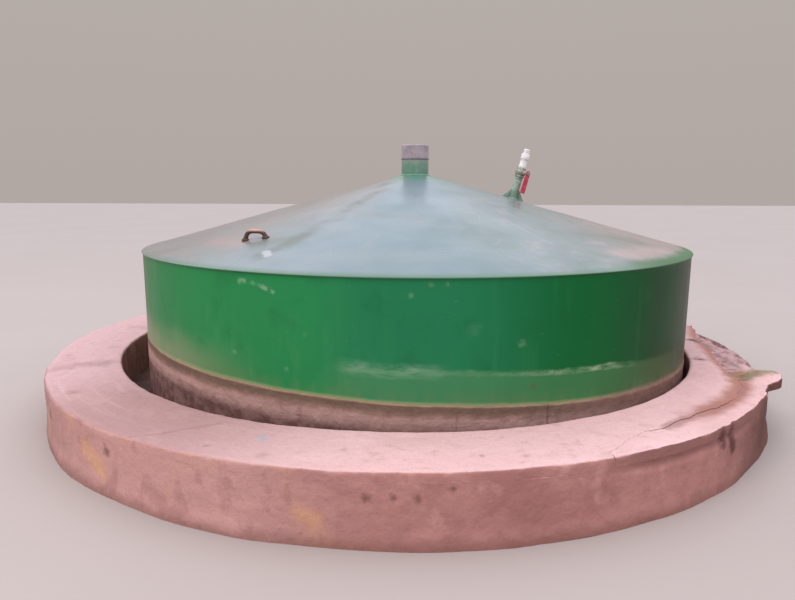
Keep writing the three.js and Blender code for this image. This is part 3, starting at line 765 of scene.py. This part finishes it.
def steel_look():
    """Steel that lives in slurry: dark scale with rust bloom and dried runs."""
    k = Look("slurry_steel")
    bloom = k.noise(30.0, 5.0)
    runs = k.noise(50.0, 3.0, place=k.stretched(1, 1, 0.12))
    k.start(k.ramp(bloom, 0.4, 0.62), (58, 46, 40), (104, 66, 46))
    k.lay((126, 110, 88), k.ramp(runs, 0.55, 0.7), 0.5)
    normal = k.bump(k.plus(bloom, k.both(runs, 0.4)), 0.0018)
    return k.finish(k.mix(bloom, 0.55, 0.88), normal, metal=k.both(bloom, 0.5))


def valve_look():
    """Dull plated brass, handled and dusty."""
    k = Look("valve_plating")
    cloud = k.noise(90.0, 4.0)
    wear = k.noise(260.0, 3.0)
    k.start(k.ramp(cloud, 0.38, 0.66), (166, 168, 154), (128, 130, 114))
    k.lay((150, 126, 84), k.ramp(wear, 0.58, 0.68), 0.4)
    return k.finish(k.mix(cloud, 0.34, 0.56), k.bump(wear, 0.0004), metal=0.6)


def lever_look():
    """Red dipped plastic, faded to pink where hands and sun reach it."""
    k = Look("red_dip")
    cloud = k.noise(70.0, 3.0)
    k.start(k.ramp(cloud, 0.35, 0.65), (196, 46, 72), (214, 92, 112))
    k.lay((120, 40, 48), k.patches(0.62, 0.72, 220.0, 3.0), 0.4)
    return k.finish(k.mix(cloud, 0.42, 0.58), k.bump(k.noise(160.0, 2.0), 0.0006))


def white_look():
    """White moulded plastic with a little grime."""
    k = Look("white_plastic")
    cloud = k.noise(80.0, 4.0)
    grime = k.noise(240.0, 3.0)
    k.start(k.ramp(cloud, 0.35, 0.7), (240, 238, 236), (222, 217, 213))
    k.lay((160, 150, 138), k.ramp(grime, 0.6, 0.72), 0.35)
    return k.finish(k.mix(grime, 0.36, 0.52), k.bump(grime, 0.0004))


def slurry_look():
    """Digested slurry: dark brown, wet, with a drying skin."""
    k = Look("slurry_surface")
    skin = k.noise(18.0, 5.0, twist=0.8)
    k.start(k.ramp(skin, 0.42, 0.62), (76, 54, 43), (98, 74, 61))
    normal = k.bump(k.plus(skin, k.both(k.noise(90.0, 3.0), 0.3)), 0.004)
    return k.finish(k.mix(k.ramp(skin, 0.4, 0.6), 0.55, 0.85), normal, gloss=0.12)


def floor_look():
    k = Look("studio_floor")
    k.start(k.noise(0.8, 2.0), (170, 157, 150), (176, 163, 156))
    return k.finish(0.85, gloss=0.2)


def face_r(bearing, z):
    """How far out the plastered outer face stands."""
    x, y = facing(bearing)
    lump = 0.0045 * grain(x, y, z, 2.6, 2) + 0.0022 * grain(x, y, z, 12, 3)
    foot = step(z, 0.06, 0.0) * (0.006 + 0.01 * grain(x, y, 3.0, 4.0, 2))
    swell = 0.008 * bell(bearing, radians(-92), radians(14))
    under_strip = stretch(bearing, 20, 28, 50, 60) * step(z + 0.008 * grain(x, y, 9.0, 9, 3), 0.134, 0.156)
    gone = under_strip * (0.005 + 0.002 * grain(x, y, z, 22, 3))
    gone += broken(bearing) * (0.024 + 0.01 * grain(x, y, 4.0, 12, 3)) * step(z, 0.128, WALL_TOP) ** 2
    stains = bell(bearing, radians(39.9), radians(0.5)) * step(z, 0.14, 0.156)
    stains += bell(bearing, radians(42.2), radians(0.5)) * step(z, 0.108, 0.126)
    return RING_R + lump + foot + swell - gone - 0.004 * min(1.0, stains)


def pit_r(bearing, z):
    """How far out the pit's side stands."""
    x, y = facing(bearing)
    return PIT_R + 0.0012 + 0.0018 * grain(x, y, z, 9, 3)


def crack_line(bearing):
    return between([(radians(degrees), r) for degrees, r in CRACK], bearing)


def crack_r(bearing):
    """The crack's radius, with a fine jagged course."""
    jag = 0.0055 * grain(bearing, 0.3, 0, 24, 3) + 0.004 * grain(bearing, 1.7, 0, 80, 2)
    return crack_line(bearing) + jag


def broken(bearing):
    """1 on the bare stretch past the lip, 0 elsewhere."""
    return stretch(bearing, LIP_END - 0.3, LIP_END + 0.6, BREAK_END - 0.5, BREAK_END + 1.0)


def screed_top(r, bearing):
    """The screed's height: wavy, rough on the left, worn along the broken edge, and one small hole."""
    x, y = (part * r for part in facing(bearing))
    z = RING_TOP + 0.0022 * grain(x, y, 0, 3.4, 2) + 0.001 * grain(x, y, 0, 17, 3)
    z += 0.0012 * step(folded(bearing), radians(-10), radians(-50)) * grain(x, y, 7.0, 22, 3)
    worn = stretch(bearing, 46, 56, 92, 112)
    if worn > 0:
        from_crack = r - crack_line(bearing)
        wide = 0.03 + 0.012 * grain(x, y, 2.0, 9, 2)
        z -= worn * (0.0105 + 0.005 * grain(x, y, 6.0, 7, 2)) * bell(from_crack, 0.0, wide)
        z += worn * 0.0055 * grain(x, y, 4.0, 17, 4) * step(from_crack, -0.06, 0.02)
    return z - 0.008 * bell(math.hypot(x - 1.14, y + 0.365), 0.0, 0.011)


def edge_round(bearing):
    """How far the screed's outer edge is rounded: more on the left, less along the loose strip."""
    x, y = facing(bearing)
    chips = step(grain(x, y, 2.0, 16, 3), 0.26, 0.5)
    lumps = 0.003 * step(grain(x, y, 12.0, 44, 2), 0.1, 0.45)
    thin = stretch(bearing, 20, 28, 54, 61)
    plain = 0.0075 + 0.01 * step(folded(bearing), radians(-22), radians(-60))
    plain += 0.002 * grain(x, y, 1.0, 9, 2)
    return plain * (1 - 0.6 * thin) + 0.006 * chips + lumps


def screed_edge(bearing):
    """How far out the screed reaches: just past the plaster, nibbled, and ragged on the right."""
    x, y = facing(bearing)
    ragged = stretch(bearing, 46, 56, 92, 112)
    nibble = 0.0018 * grain(x, y, 6.0, 40, 3) + ragged * 0.01 * grain(x, y, 8.0, 10, 3)
    lip = 0.003 * stretch(bearing, 20, 30, 50, 58)
    return face_r(bearing, 0.18) + lip + nibble


def quarter(r, z, size_in, size_up, count):
    """A rounded corner from its side up to its top; size_in is negative at an inner edge."""
    turns = spread(0, pi / 2, count)
    return [(r - size_in * (1 - cos(turn)), z - size_up * (1 - sin(turn))) for turn in turns]


def slab_section(inner, outer, round_in, round_out, bearing, sink=0.0, raised=0.0, across=30):
    """Section of a screed slab between two radii, with rounded top edges."""
    def top(r):
        lift = raised * step(r, inner, outer - round_out) if raised else 0.0
        return screed_top(r, bearing) - sink + lift

    top_out = top(outer - round_out)
    top_in = top(inner + round_in)
    points = [(outer, z) for z in spread(SCREED_FOOT, top_out - round_out, 4)]
    points += quarter(outer, top_out, round_out, round_out, 6)[1:]
    points += [(r, top(r)) for r in spread(outer - round_out, inner + round_in, across)[1:]]
    points += quarter(inner, top_in, -round_in, round_in, 5)[-2::-1]
    points += [(inner, z) for z in spread(top_in - round_in, SCREED_FOOT, 4)[1:]]
    points += [(r, SCREED_FOOT) for r in spread(inner, outer, 5)[1:-1]]
    return points


def sound_section(bearing):
    """The screed that still lies firm, which ends at the crack on the right."""
    outer = screed_edge(bearing)
    round_out = edge_round(bearing)
    if STRIP_FROM < bearing < radians(BREAK_END):
        outer = min(crack_r(bearing), outer)
        round_out = 0.0008 + 0.01 * step(bearing, radians(66.6), radians(69.0))
    return slab_section(pit_r(bearing, 0.18), outer, 0.009, round_out, bearing)


def strip_section(bearing):
    """The loose strip outside the crack, sunk in its middle and lifted at its tip."""
    gap = 0.0003 + 0.0005 * stretch(bearing, 31, 37, 46, 52)
    inner = crack_r(bearing) + gap
    tip = step(bearing, radians(60.8), radians(64.6))
    tip *= 1 - 0.3 * step(bearing, radians(66.0), radians(LIP_END))
    outer = max(screed_edge(bearing) + 0.042 * tip, inner + 0.012)
    sink = 0.0024 * stretch(bearing, 28, 36, 46, 56)
    round_out = min(edge_round(bearing), (outer - inner) * 0.4)
    return slab_section(inner, outer, 0.0008, round_out, bearing, sink, 0.008 * tip, 16)


def wall_top(r, bearing):
    """The wall's top lies hidden under the screed, but bare and lumpy where the screed has gone."""
    x, y = facing(bearing)
    heap = 0.002 + 0.012 * grain(x * r, y * r, 1.0, 17, 3) - 0.012 * step(r, 1.335, 1.4)
    return WALL_TOP + broken(bearing) * step(r, crack_line(bearing), crack_line(bearing) + 0.022) * heap


def wall_section(bearing):
    heights = spread(0.0, 0.105, 12) + spread(0.105, WALL_TOP, 22)[1:]
    points = [(face_r(bearing, z), z) for z in heights]
    top_out = face_r(bearing, WALL_TOP)
    points += [(r, wall_top(r, bearing)) for r in spread(top_out - 0.006, 1.26, 16)]
    points += [(pit_r(bearing, z), z) for z in spread(WALL_TOP, 0.0, 12)]
    foot = spread(pit_r(bearing, 0.0), face_r(bearing, 0.0), 5)[1:-1]
    return points + [(r, 0.0) for r in foot]


def build_ring(look):
    around = 1200
    full = [tau * (k + 0.5) / around - pi for k in range(around)]
    walls = [f"curb_wall_{i}" for i in range(1, 7)]
    piece("ring_plaster", sweep(wall_section, full, True), look, walls, "root")
    slit = 0.0001
    beside_strip = [STRIP_FROM - slit, STRIP_FROM + slit]
    screed = sweep(sound_section, sorted(full + beside_strip), True)
    copings = [f"coping_{i}" for i in range(1, 7)]
    piece("ring_screed", screed, look, copings, "root")
    strip = sweep(strip_section, spread(STRIP_FROM + 1.5 * slit, radians(LIP_END), 360), False)
    piece("broken_screed_strip", strip, look, ["coping_broken_strip"], "root")


def build_slurry(look):
    """A thin skin of slurry fills the gap up to its level."""
    around = 240
    drum_side = DRUM_R + 0.0055
    loops = []
    for k in range(around):
        x, y = facing(tau * k / around)
        inner = Vector((DRUM_X + x * drum_side, y * drum_side, 0))
        outer = Vector((x * PIT_R, y * PIT_R, 0))
        loop = []
        for at in [inner.lerp(outer, t) for t in spread(0, 1, 7)]:
            loop.append((at.x, at.y, SLURRY_TOP + 0.0012 * grain(at.x, at.y, 0, 9, 3)))
        for at in (outer, inner):
            loop.append((at.x, at.y, SLURRY_TOP - SLURRY_SKIN))
        loops.append(loop)
    piece("slurry_skin", loft(loops, True), look, body="root")


def side_out(bearing, z):
    """How far the side stands out of its true cylinder: dents, crust and the weld under the eave."""
    x, y = facing(bearing)
    crust_top = CRUST_TOP + CRUST_SLANT * sin(bearing)
    dent = 0.0013 * grain(x, y, z, 1.9, 2)
    covered = step(z, crust_top + 0.002, crust_top - 0.008)
    crust = covered * (0.0009 + 0.0013 * max(0.0, 0.4 + grain(x, y, z, 26, 3)))
    tide = 0.001 * bell(z, crust_top - 0.005, 0.005)
    weld = step(z, 0.597, SIDE_TOP) * (0.0028 + 0.0006 * grain(x, y, 0, 60, 2))
    return dent + crust + tide + weld


def seam_bead(across):
    """The height of a weld bead at a distance from the joint."""
    return 0.0004 * bell(across, 0.0, 0.006)


def side_section(bearing, from_joint):
    """from_joint is the angle to the nearer end of the sheet, where a weld bead runs."""
    x, y = facing(bearing)
    bead = seam_bead(from_joint * DRUM_R)
    heights = spread(SKIRT_FOOT, 0.31, 62) + spread(0.31, 0.59, 20)[1:] + spread(0.59, SIDE_TOP, 6)[1:]
    points = [(DRUM_R + side_out(bearing, z) + bead, z) for z in heights]
    for z in spread(SIDE_TOP, SKIRT_FOOT, 12):
        points.append((DRUM_R - PLATE + max(0.0, 0.0013 * grain(x, y, z, 1.9, 2)), z))
    return points


def roof_lift(bearing, r):
    """Waves in the roof's sheet, none at the apex and at the rim."""
    x, y = facing(bearing)
    return 0.0022 * grain(x * r, y * r, 0, 2.7, 2) * step(r, 0.07, 0.2) * step(r, 1.1, 1.02)


def roof_section(bearing, from_joint):
    depth = PLATE / cos(math.atan(SLOPE))
    points = []
    for r in spread(EYE_R, 0.09, 4) + spread(0.09, 1.06, 70)[1:] + spread(1.06, 1.1015, 8)[1:]:
        points.append((r, roof_top(r) + roof_lift(bearing, r) + seam_bead(from_joint * r)))
    eave = roof_top(EAVE_R)
    points += [(1.103, roof_top(1.103) - 0.0004), (EAVE_R, eave - 0.0012),
               (EAVE_R, eave - depth + 0.0008), (1.1032, eave - depth)]
    for r in spread(DRUM_R, EYE_R, 24):
        points.append((r, roof_top(r) - depth + max(0.0, roof_lift(bearing, r))))
    return points


def build_sheets(kind, count, section_at, near_end, margin, across, look):
    """Equal sheets side by side round the drum, with the loops near_end close to each joint."""
    slit = 0.00002 / DRUM_R
    for i in range(count):
        first = radians(90 + 360 / count * i) + slit
        last = radians(90 + 360 / count * (i + 1)) - slit

        def section(bearing):
            return section_at(bearing, min(bearing - first, last - bearing))
        middle = spread(first + margin, last - margin, across)
        bearings = [first + d for d in near_end] + middle + [last - d for d in reversed(near_end)]
        sheet = sweep(section, bearings, False, DRUM_X)
        piece(f"{kind}_sheet_{i + 1}", sheet, look, [f"{kind}_plate_{i + 1}"])


def build_shell(side, roof):
    near_side = [d / DRUM_R for d in (0.0, 0.0016, 0.0032, 0.005, 0.008, 0.012)]
    near_roof = [0.0, 0.002, 0.004, 0.007, 0.011, 0.016, 0.024]
    build_sheets("side", 3, side_section, near_side, 0.016 / DRUM_R, 270, side)
    build_sheets("roof", 6, roof_section, near_roof, 0.036, 84, roof)


def build_sleeve(green, grey):
    inner = SLEEVE_R - SLEEVE_WALL
    profile = [(SLEEVE_R, z) for z in spread(SLEEVE_FOOT, 0.9575, 40)[:-1]]
    profile += [(SLEEVE_R - 0.0003, 0.9572), (SLEEVE_R - 0.001, SLEEVE_TOP),
                (inner, SLEEVE_TOP), (inner, SLEEVE_FOOT)]

    def worn(r, z, turn):
        return r + 0.0003 * round_grain(turn, z * 9, 2.2, 2) if r > SLEEVE_R - 0.002 else r
    piece("sleeve_pipe", lathe(profile, SHELL_AXIS, 64, worn), green, ["guide_sleeve"])

    low = roof_top(0.064)
    bead = [(0.0574, low + 0.0008), (0.062, low + 0.0004), (0.0624, low + 0.0014), (0.061, low + 0.0034),
            (0.0594, low + 0.005), (0.0574, low + 0.006)]

    def lumpy(r, z, turn):
        return r + max(0.0, r - 0.058) * 0.22 * round_grain(turn, z * 30, 5.0, 3)
    piece("sleeve_weld", lathe(bead, SHELL_AXIS, 96, lumpy), green)

    cap = [(inner, CAP_FOOT), (SLEEVE_R + 0.0008, CAP_FOOT), (SLEEVE_R + 0.0016, CAP_FOOT + 0.0012),
           (SLEEVE_R + 0.0016, 0.9655), (SLEEVE_R + 0.0006, 0.9675), (SLEEVE_R, 0.97),
           (SLEEVE_R - 0.0002, 1.012)]
    cap += quarter(SLEEVE_R, CAP_TOP, 0.006, 0.0062, 7)[1:]
    cap += [(0.044, CAP_TOP - 0.0001), (0.04, CAP_TOP - 0.0012), (0.02, CAP_TOP - 0.0014),
            (0.0006, CAP_TOP - 0.0012), (0.0006, CAP_TOP - 0.006), (inner, CAP_TOP - 0.006)]
    piece("sleeve_end_cap", lathe(cap, SHELL_AXIS, 72), grey, ["sleeve_cap"])


def build_handles(look):
    """Two handles, each an arch with splayed legs on weld pads; the second is the first turned half round."""
    centre = Vector((-0.524, -0.682))
    turn = radians(-7.4)
    half, rise, bar = 0.035, 0.032, 0.007
    across_bar = Vector((cos(turn), sin(turn)))
    ends = [centre + across_bar * half * side for side in (-1, 1)]
    foot_z = [roof_top(end.length) for end in ends]
    top_z = roof_top(centre.length) + rise - bar
    pad = [(0.0004, -0.003), (0.0125, -0.003), (0.0132, -0.0006), (0.0112, 0.0024), (0.0084, 0.0044),
           (0.0004, 0.0052)]
    for number, flip in ((1, 1), (2, -1)):
        path = []
        for t in spread(0, 1, 49):
            c, s = cos(pi * (1 - t)), sin(pi * (1 - t))
            up = abs(s) ** 0.62
            across = math.copysign(abs(c) ** 0.62, c) * half * (1 - 0.16 * up)
            base = foot_z[0] + (foot_z[1] - foot_z[0]) * t
            flat = centre + across_bar * across
            path.append(Vector((DRUM_X + flip * flat.x, flip * flat.y, base + 0.0006 + (top_z - base) * up)))

        def bar_r(i, at):
            near_end = exp(-min(i, 48 - i) / 1.6)
            lump = 0.0007 * grain(i * 0.11, cos(at), sin(at) + 7 * number, 2.2, 3)
            return bar + lump + 0.0022 * near_end
        mesh = tube_along(path, bar_r)
        for end, z in zip(ends, foot_z):
            def lumpy(r, h, at):
                return r * (1 + 0.14 * round_grain(at, end.x * 9 + number, 2.6, 2))
            foot = Matrix.Translation((DRUM_X + flip * end.x, flip * end.y, z + 0.0018))
            lathe(pad, foot, 28, lumpy, mesh)
        piece(f"lifting_handle_{number}", mesh, look, [f"handle_{number}"], sharp=50)


def outlet_frame():
    """The outlet stands square to the roof."""
    around = Matrix.Rotation(OUTLET_BEARING - pi / 2, 4, "Z")
    out = Matrix.Translation((OUTLET_R, 0, roof_top(OUTLET_R)))
    return SHELL_AXIS @ around @ out @ Matrix.Rotation(math.atan(SLOPE), 4, "Y")


def six_sided(across_flats, turn):
    """Radius of a hexagon at a turn, its corners slightly worn."""
    sector = (turn + pi / 6) % (pi / 3) - pi / 6
    return min(across_flats / 2 / cos(sector), across_flats / 2 * 1.115)


def build_riser(at, paint):
    """The outlet pipe with its thread, the weld at its foot, and two gussets with weld beads."""
    outer, bore, top = 0.01685, 0.013, 0.098
    pitch = 0.002
    pipe = [(bore, 0.0002), (outer, 0.0002)] + [(outer, h) for h in spread(0.004, top - 0.016, 12)]
    for k in range(7):
        h = top - 0.0145 + pitch * k
        pipe += [(outer - 0.0009, h + 0.0004), (outer, h + 0.0012)]
    pipe += [(outer - 0.0008, top - 0.0001), (bore, top - 0.0001)]

    def pitted(r, h, turn):
        return r + 0.00025 * round_grain(turn, h * 60, 3.0, 3) if r > bore else r
    piece("outlet_riser", lathe(pipe, at, 48, pitted), paint, ["outlet_pipe"])

    def lumpy(r, h, turn):
        return r + max(0.0, r - 0.0172) * 0.35 * round_grain(turn, h * 50, 4.5, 3)
    bead = [(0.017, 0.0002), (0.0232, 0.0002), (0.0236, 0.0014), (0.022, 0.0036), (0.0196, 0.0058),
            (0.017, 0.0074)]
    piece("outlet_weld", lathe(bead, at, 60, lumpy), paint)

    near = outer + 0.0003
    web = [(near, 0.0002), (near + 0.032, 0.0002), (near + 0.0315, 0.0026), (near + 0.002, 0.042),
           (near, 0.042)]
    for number, flip in ((1, 0), (2, pi)):
        turned = at @ Matrix.Rotation(flip, 4, "Z")
        mesh = slab(web, 0.005, turned, 0.0009)
        for side in (-1, 1):
            path = [Vector((near + 0.001 + 0.031 * t, side * 0.0036, 0.0012)) for t in spread(0, 1, 22)]
            tube_along(path, lambda i, a: 0.0021 + 0.0006 * sin(i * 2.1), 10, turned, mesh)
        piece(f"outlet_web_{number}", mesh, paint, [f"outlet_gusset_{number}"], sharp=32)


def build_valve(at, metal, red):
    """The valve's body with two six-sided ends, its stem, lever and nut."""
    low, high, end = 0.0983, 0.138, 0.009
    flats, corner = 0.037, 0.0195
    body = [(0.009, low), (0.019, low), (corner, low + 0.0008), (corner, low + end - 0.0006),
            (0.0189, low + end)]
    for t in spread(0, pi, 13)[1:-1]:
        h = low + end + (high - low - 2 * end) * (1 - cos(t)) / 2
        body.append((0.0182 + 0.004 * sin(t) ** 0.6, h))
    body += [(0.0189, high - end), (corner, high - end + 0.0006), (corner, high - 0.0008), (0.019, high),
             (0.009, high)]

    def hexed(r, h, turn):
        if r < 0.01 or low + end < h < high - end:
            return r
        return six_sided(flats, turn) - (corner - r)
    mesh = lathe(body, at, 72, hexed)
    stem = at @ Matrix.Rotation(radians(-58), 4, "Z") @ Matrix.Translation((0, 0, 0.118))
    outward = stem @ Matrix.Rotation(pi / 2, 4, "Y")
    boss = [(0.0004, 0.018), (0.009, 0.018), (0.009, 0.033), (0.0082, 0.034), (0.0082, 0.0402),
            (0.0074, 0.0419), (0.005, 0.042), (0.005, 0.0498), (0.0046, 0.0502), (0.0004, 0.0502)]
    lathe(boss, outward, 40, into=mesh)
    piece("ball_valve", mesh, metal, ["valve_body"], sharp=30)

    # A dipped strip, broader towards its tip, under a nut on the stem
    head, reach, half_tip = 0.013, 0.084, 0.014
    arc = [(head * cos(t), head * sin(t)) for t in spread(0, pi, 17)]
    right = [(half_tip - 0.004, -reach), (half_tip - 0.0012, -reach + 0.0012), (half_tip, -reach + 0.004),
             (half_tip * 0.97, -0.04), (head * 0.96, -0.008)]
    outline = right + arc + [(-x, z) for x, z in reversed(right)]
    eye = 0.0054
    hole = [(eye * cos(t), eye * sin(t)) for t in spread(0, tau, 25)[:-1]]
    flat = stem @ Matrix.Translation((0.0438, 0, 0)) @ Matrix.Rotation(-pi / 2, 4, "Z")
    lever = slab(outline, 0.003, flat, 0.0009, hole, 3)
    piece("dipped_lever", lever, red, ["valve_lever"], "valve_lever", 30)
    rim = 0.0084
    nut = [(0.0052, 0.0459), (0.008, 0.0459), (rim, 0.0464), (rim, 0.049), (0.0078, 0.0496),
           (0.0052, 0.0496)]

    def nut_r(r, h, turn):
        return r if r < 0.006 else six_sided(0.015, turn) - (rim - r)
    piece("stem_nut", lathe(nut, outward, 48, nut_r), metal, (), "valve_lever", 30)


def build_fitting(at, white):
    """A white adaptor, a knurled collar, and a short ribbed tail."""
    base, collar, crown, top = 0.1383, 0.1743, 0.1983, 0.2192
    bore, ribs, knurls = 0.008, 3, 16
    rib = (top - crown) / ribs
    fitting = [(bore, base), (0.015, base), (0.0155, base + 0.0008), (0.0155, base + 0.01),
               (0.0152, base + 0.0108), (0.0152, collar - 0.001), (0.0158, collar),
               (0.0178, collar + 0.0022), (0.018, collar + 0.003), (0.018, crown - 0.0012),
               (0.017, crown), (0.0125, crown + 0.0002)]
    for k in range(ribs):
        foot = crown + 0.0006 + rib * k
        fitting += [(0.0122, foot + 0.001), (0.0142, foot + 0.0024), (0.0138, foot + 0.0034),
                    (0.0116, foot + rib - 0.0012)]
    fitting += [(0.0107, top - 0.0004), (0.0102, top), (bore, top)]

    def ribbed(r, h, turn):
        if r < 0.016 or h < collar or h > crown - 0.0006:
            return r
        return r - 0.0008 * (0.5 + 0.5 * cos(turn * knurls)) ** 2
    tail = lathe(fitting, at, 96, ribbed)
    piece("tail_fitting", tail, white, ["outlet_fitting"], sharp=34)


def build_floor(look):
    far, height = 30.0, -0.0005
    mesh = bmesh.new()
    corners = ((-far, -far), (far, -far), (far, far), (-far, far))
    mesh.faces.new([mesh.verts.new((x, y, height)) for x, y in corners])
    data = bpy.data.meshes.new("studio_floor")
    mesh.to_mesh(data)
    mesh.free()
    data.materials.append(look)
    floor = bpy.data.objects.new("studio_floor", data)
    bpy.context.collection.objects.link(floor)


def build_light():
    """A soft grey room with a bright, slightly blue ceiling, and a large lamp on the left."""
    world = bpy.data.worlds.new("soft_sky")
    bpy.context.scene.world = world
    world.use_nodes = True
    nodes, links = world.node_tree.nodes, world.node_tree.links
    coords = nodes.new("ShaderNodeTexCoord")
    parts = nodes.new("ShaderNodeSeparateXYZ")
    links.new(coords.outputs["Generated"], parts.inputs[0])
    ramp = nodes.new("ShaderNodeValToRGB")
    stops = ramp.color_ramp.elements
    ceiling = (1.62, 1.68, 1.88, 1)
    stops[0].color = (0.44, 0.39, 0.365, 1)
    stops[1].color = ceiling
    stops.new(0.27).color = (0.46, 0.415, 0.39, 1)
    stops.new(0.5).color = ceiling
    links.new(parts.outputs[2], ramp.inputs[0])
    links.new(ramp.outputs[0], nodes["Background"].inputs["Color"])

    place, aim = Vector((-3.4, -4.4, 6.1)), Vector((0, 0, 0.3))
    data = bpy.data.lights.new("key_light", "AREA")
    data.shape = "DISK"
    data.size = 3.0
    data.energy = 130
    data.color = (1.0, 0.97, 0.94)
    lamp = bpy.data.objects.new("key_light", data)
    lamp.location = place
    lamp.rotation_euler = (aim - place).to_track_quat("-Z", "Y").to_euler()
    bpy.context.collection.objects.link(lamp)


def build_camera():
    """The camera looks along +Y, turned by yaw, tilted down by pitch and leaned by roll."""
    data = bpy.data.cameras.new("camera")
    data.sensor_width = 36.0
    data.lens = 29.43
    data.clip_start = 0.05
    camera = bpy.data.objects.new("camera", data)
    yaw, pitch, roll = -0.0283, 0.1717, 0.003
    forward = Vector((sin(yaw) * cos(pitch), cos(yaw) * cos(pitch), -sin(pitch)))
    across = Vector((cos(yaw), -sin(yaw), 0))
    upward = across.cross(forward)
    turned_across = across * cos(roll) + upward * sin(roll)
    turned_up = upward * cos(roll) - across * sin(roll)
    basis = Matrix((turned_across, turned_up, -forward)).transposed().to_4x4()
    camera.matrix_world = Matrix.Translation((0.049, -2.821, 0.843)) @ basis
    bpy.context.collection.objects.link(camera)
    bpy.context.scene.camera = camera


build_ring(masonry_look())
build_slurry(slurry_look())
build_shell(side_look(), roof_look())
build_sleeve(sleeve_look(), cap_look())
build_handles(rust_look())
outlet = outlet_frame()
build_riser(outlet, outlet_look())
build_valve(outlet, valve_look(), lever_look())
build_fitting(outlet, white_look())

# CAD nodes that no piece replaces
steel = steel_look()
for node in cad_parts.values():
    if not node.hide_render:
        node.data.materials.clear()
        node.data.materials.append(steel)

build_floor(floor_look())
build_light()
build_camera()
bpy.context.scene.view_settings.view_transform = "Standard"
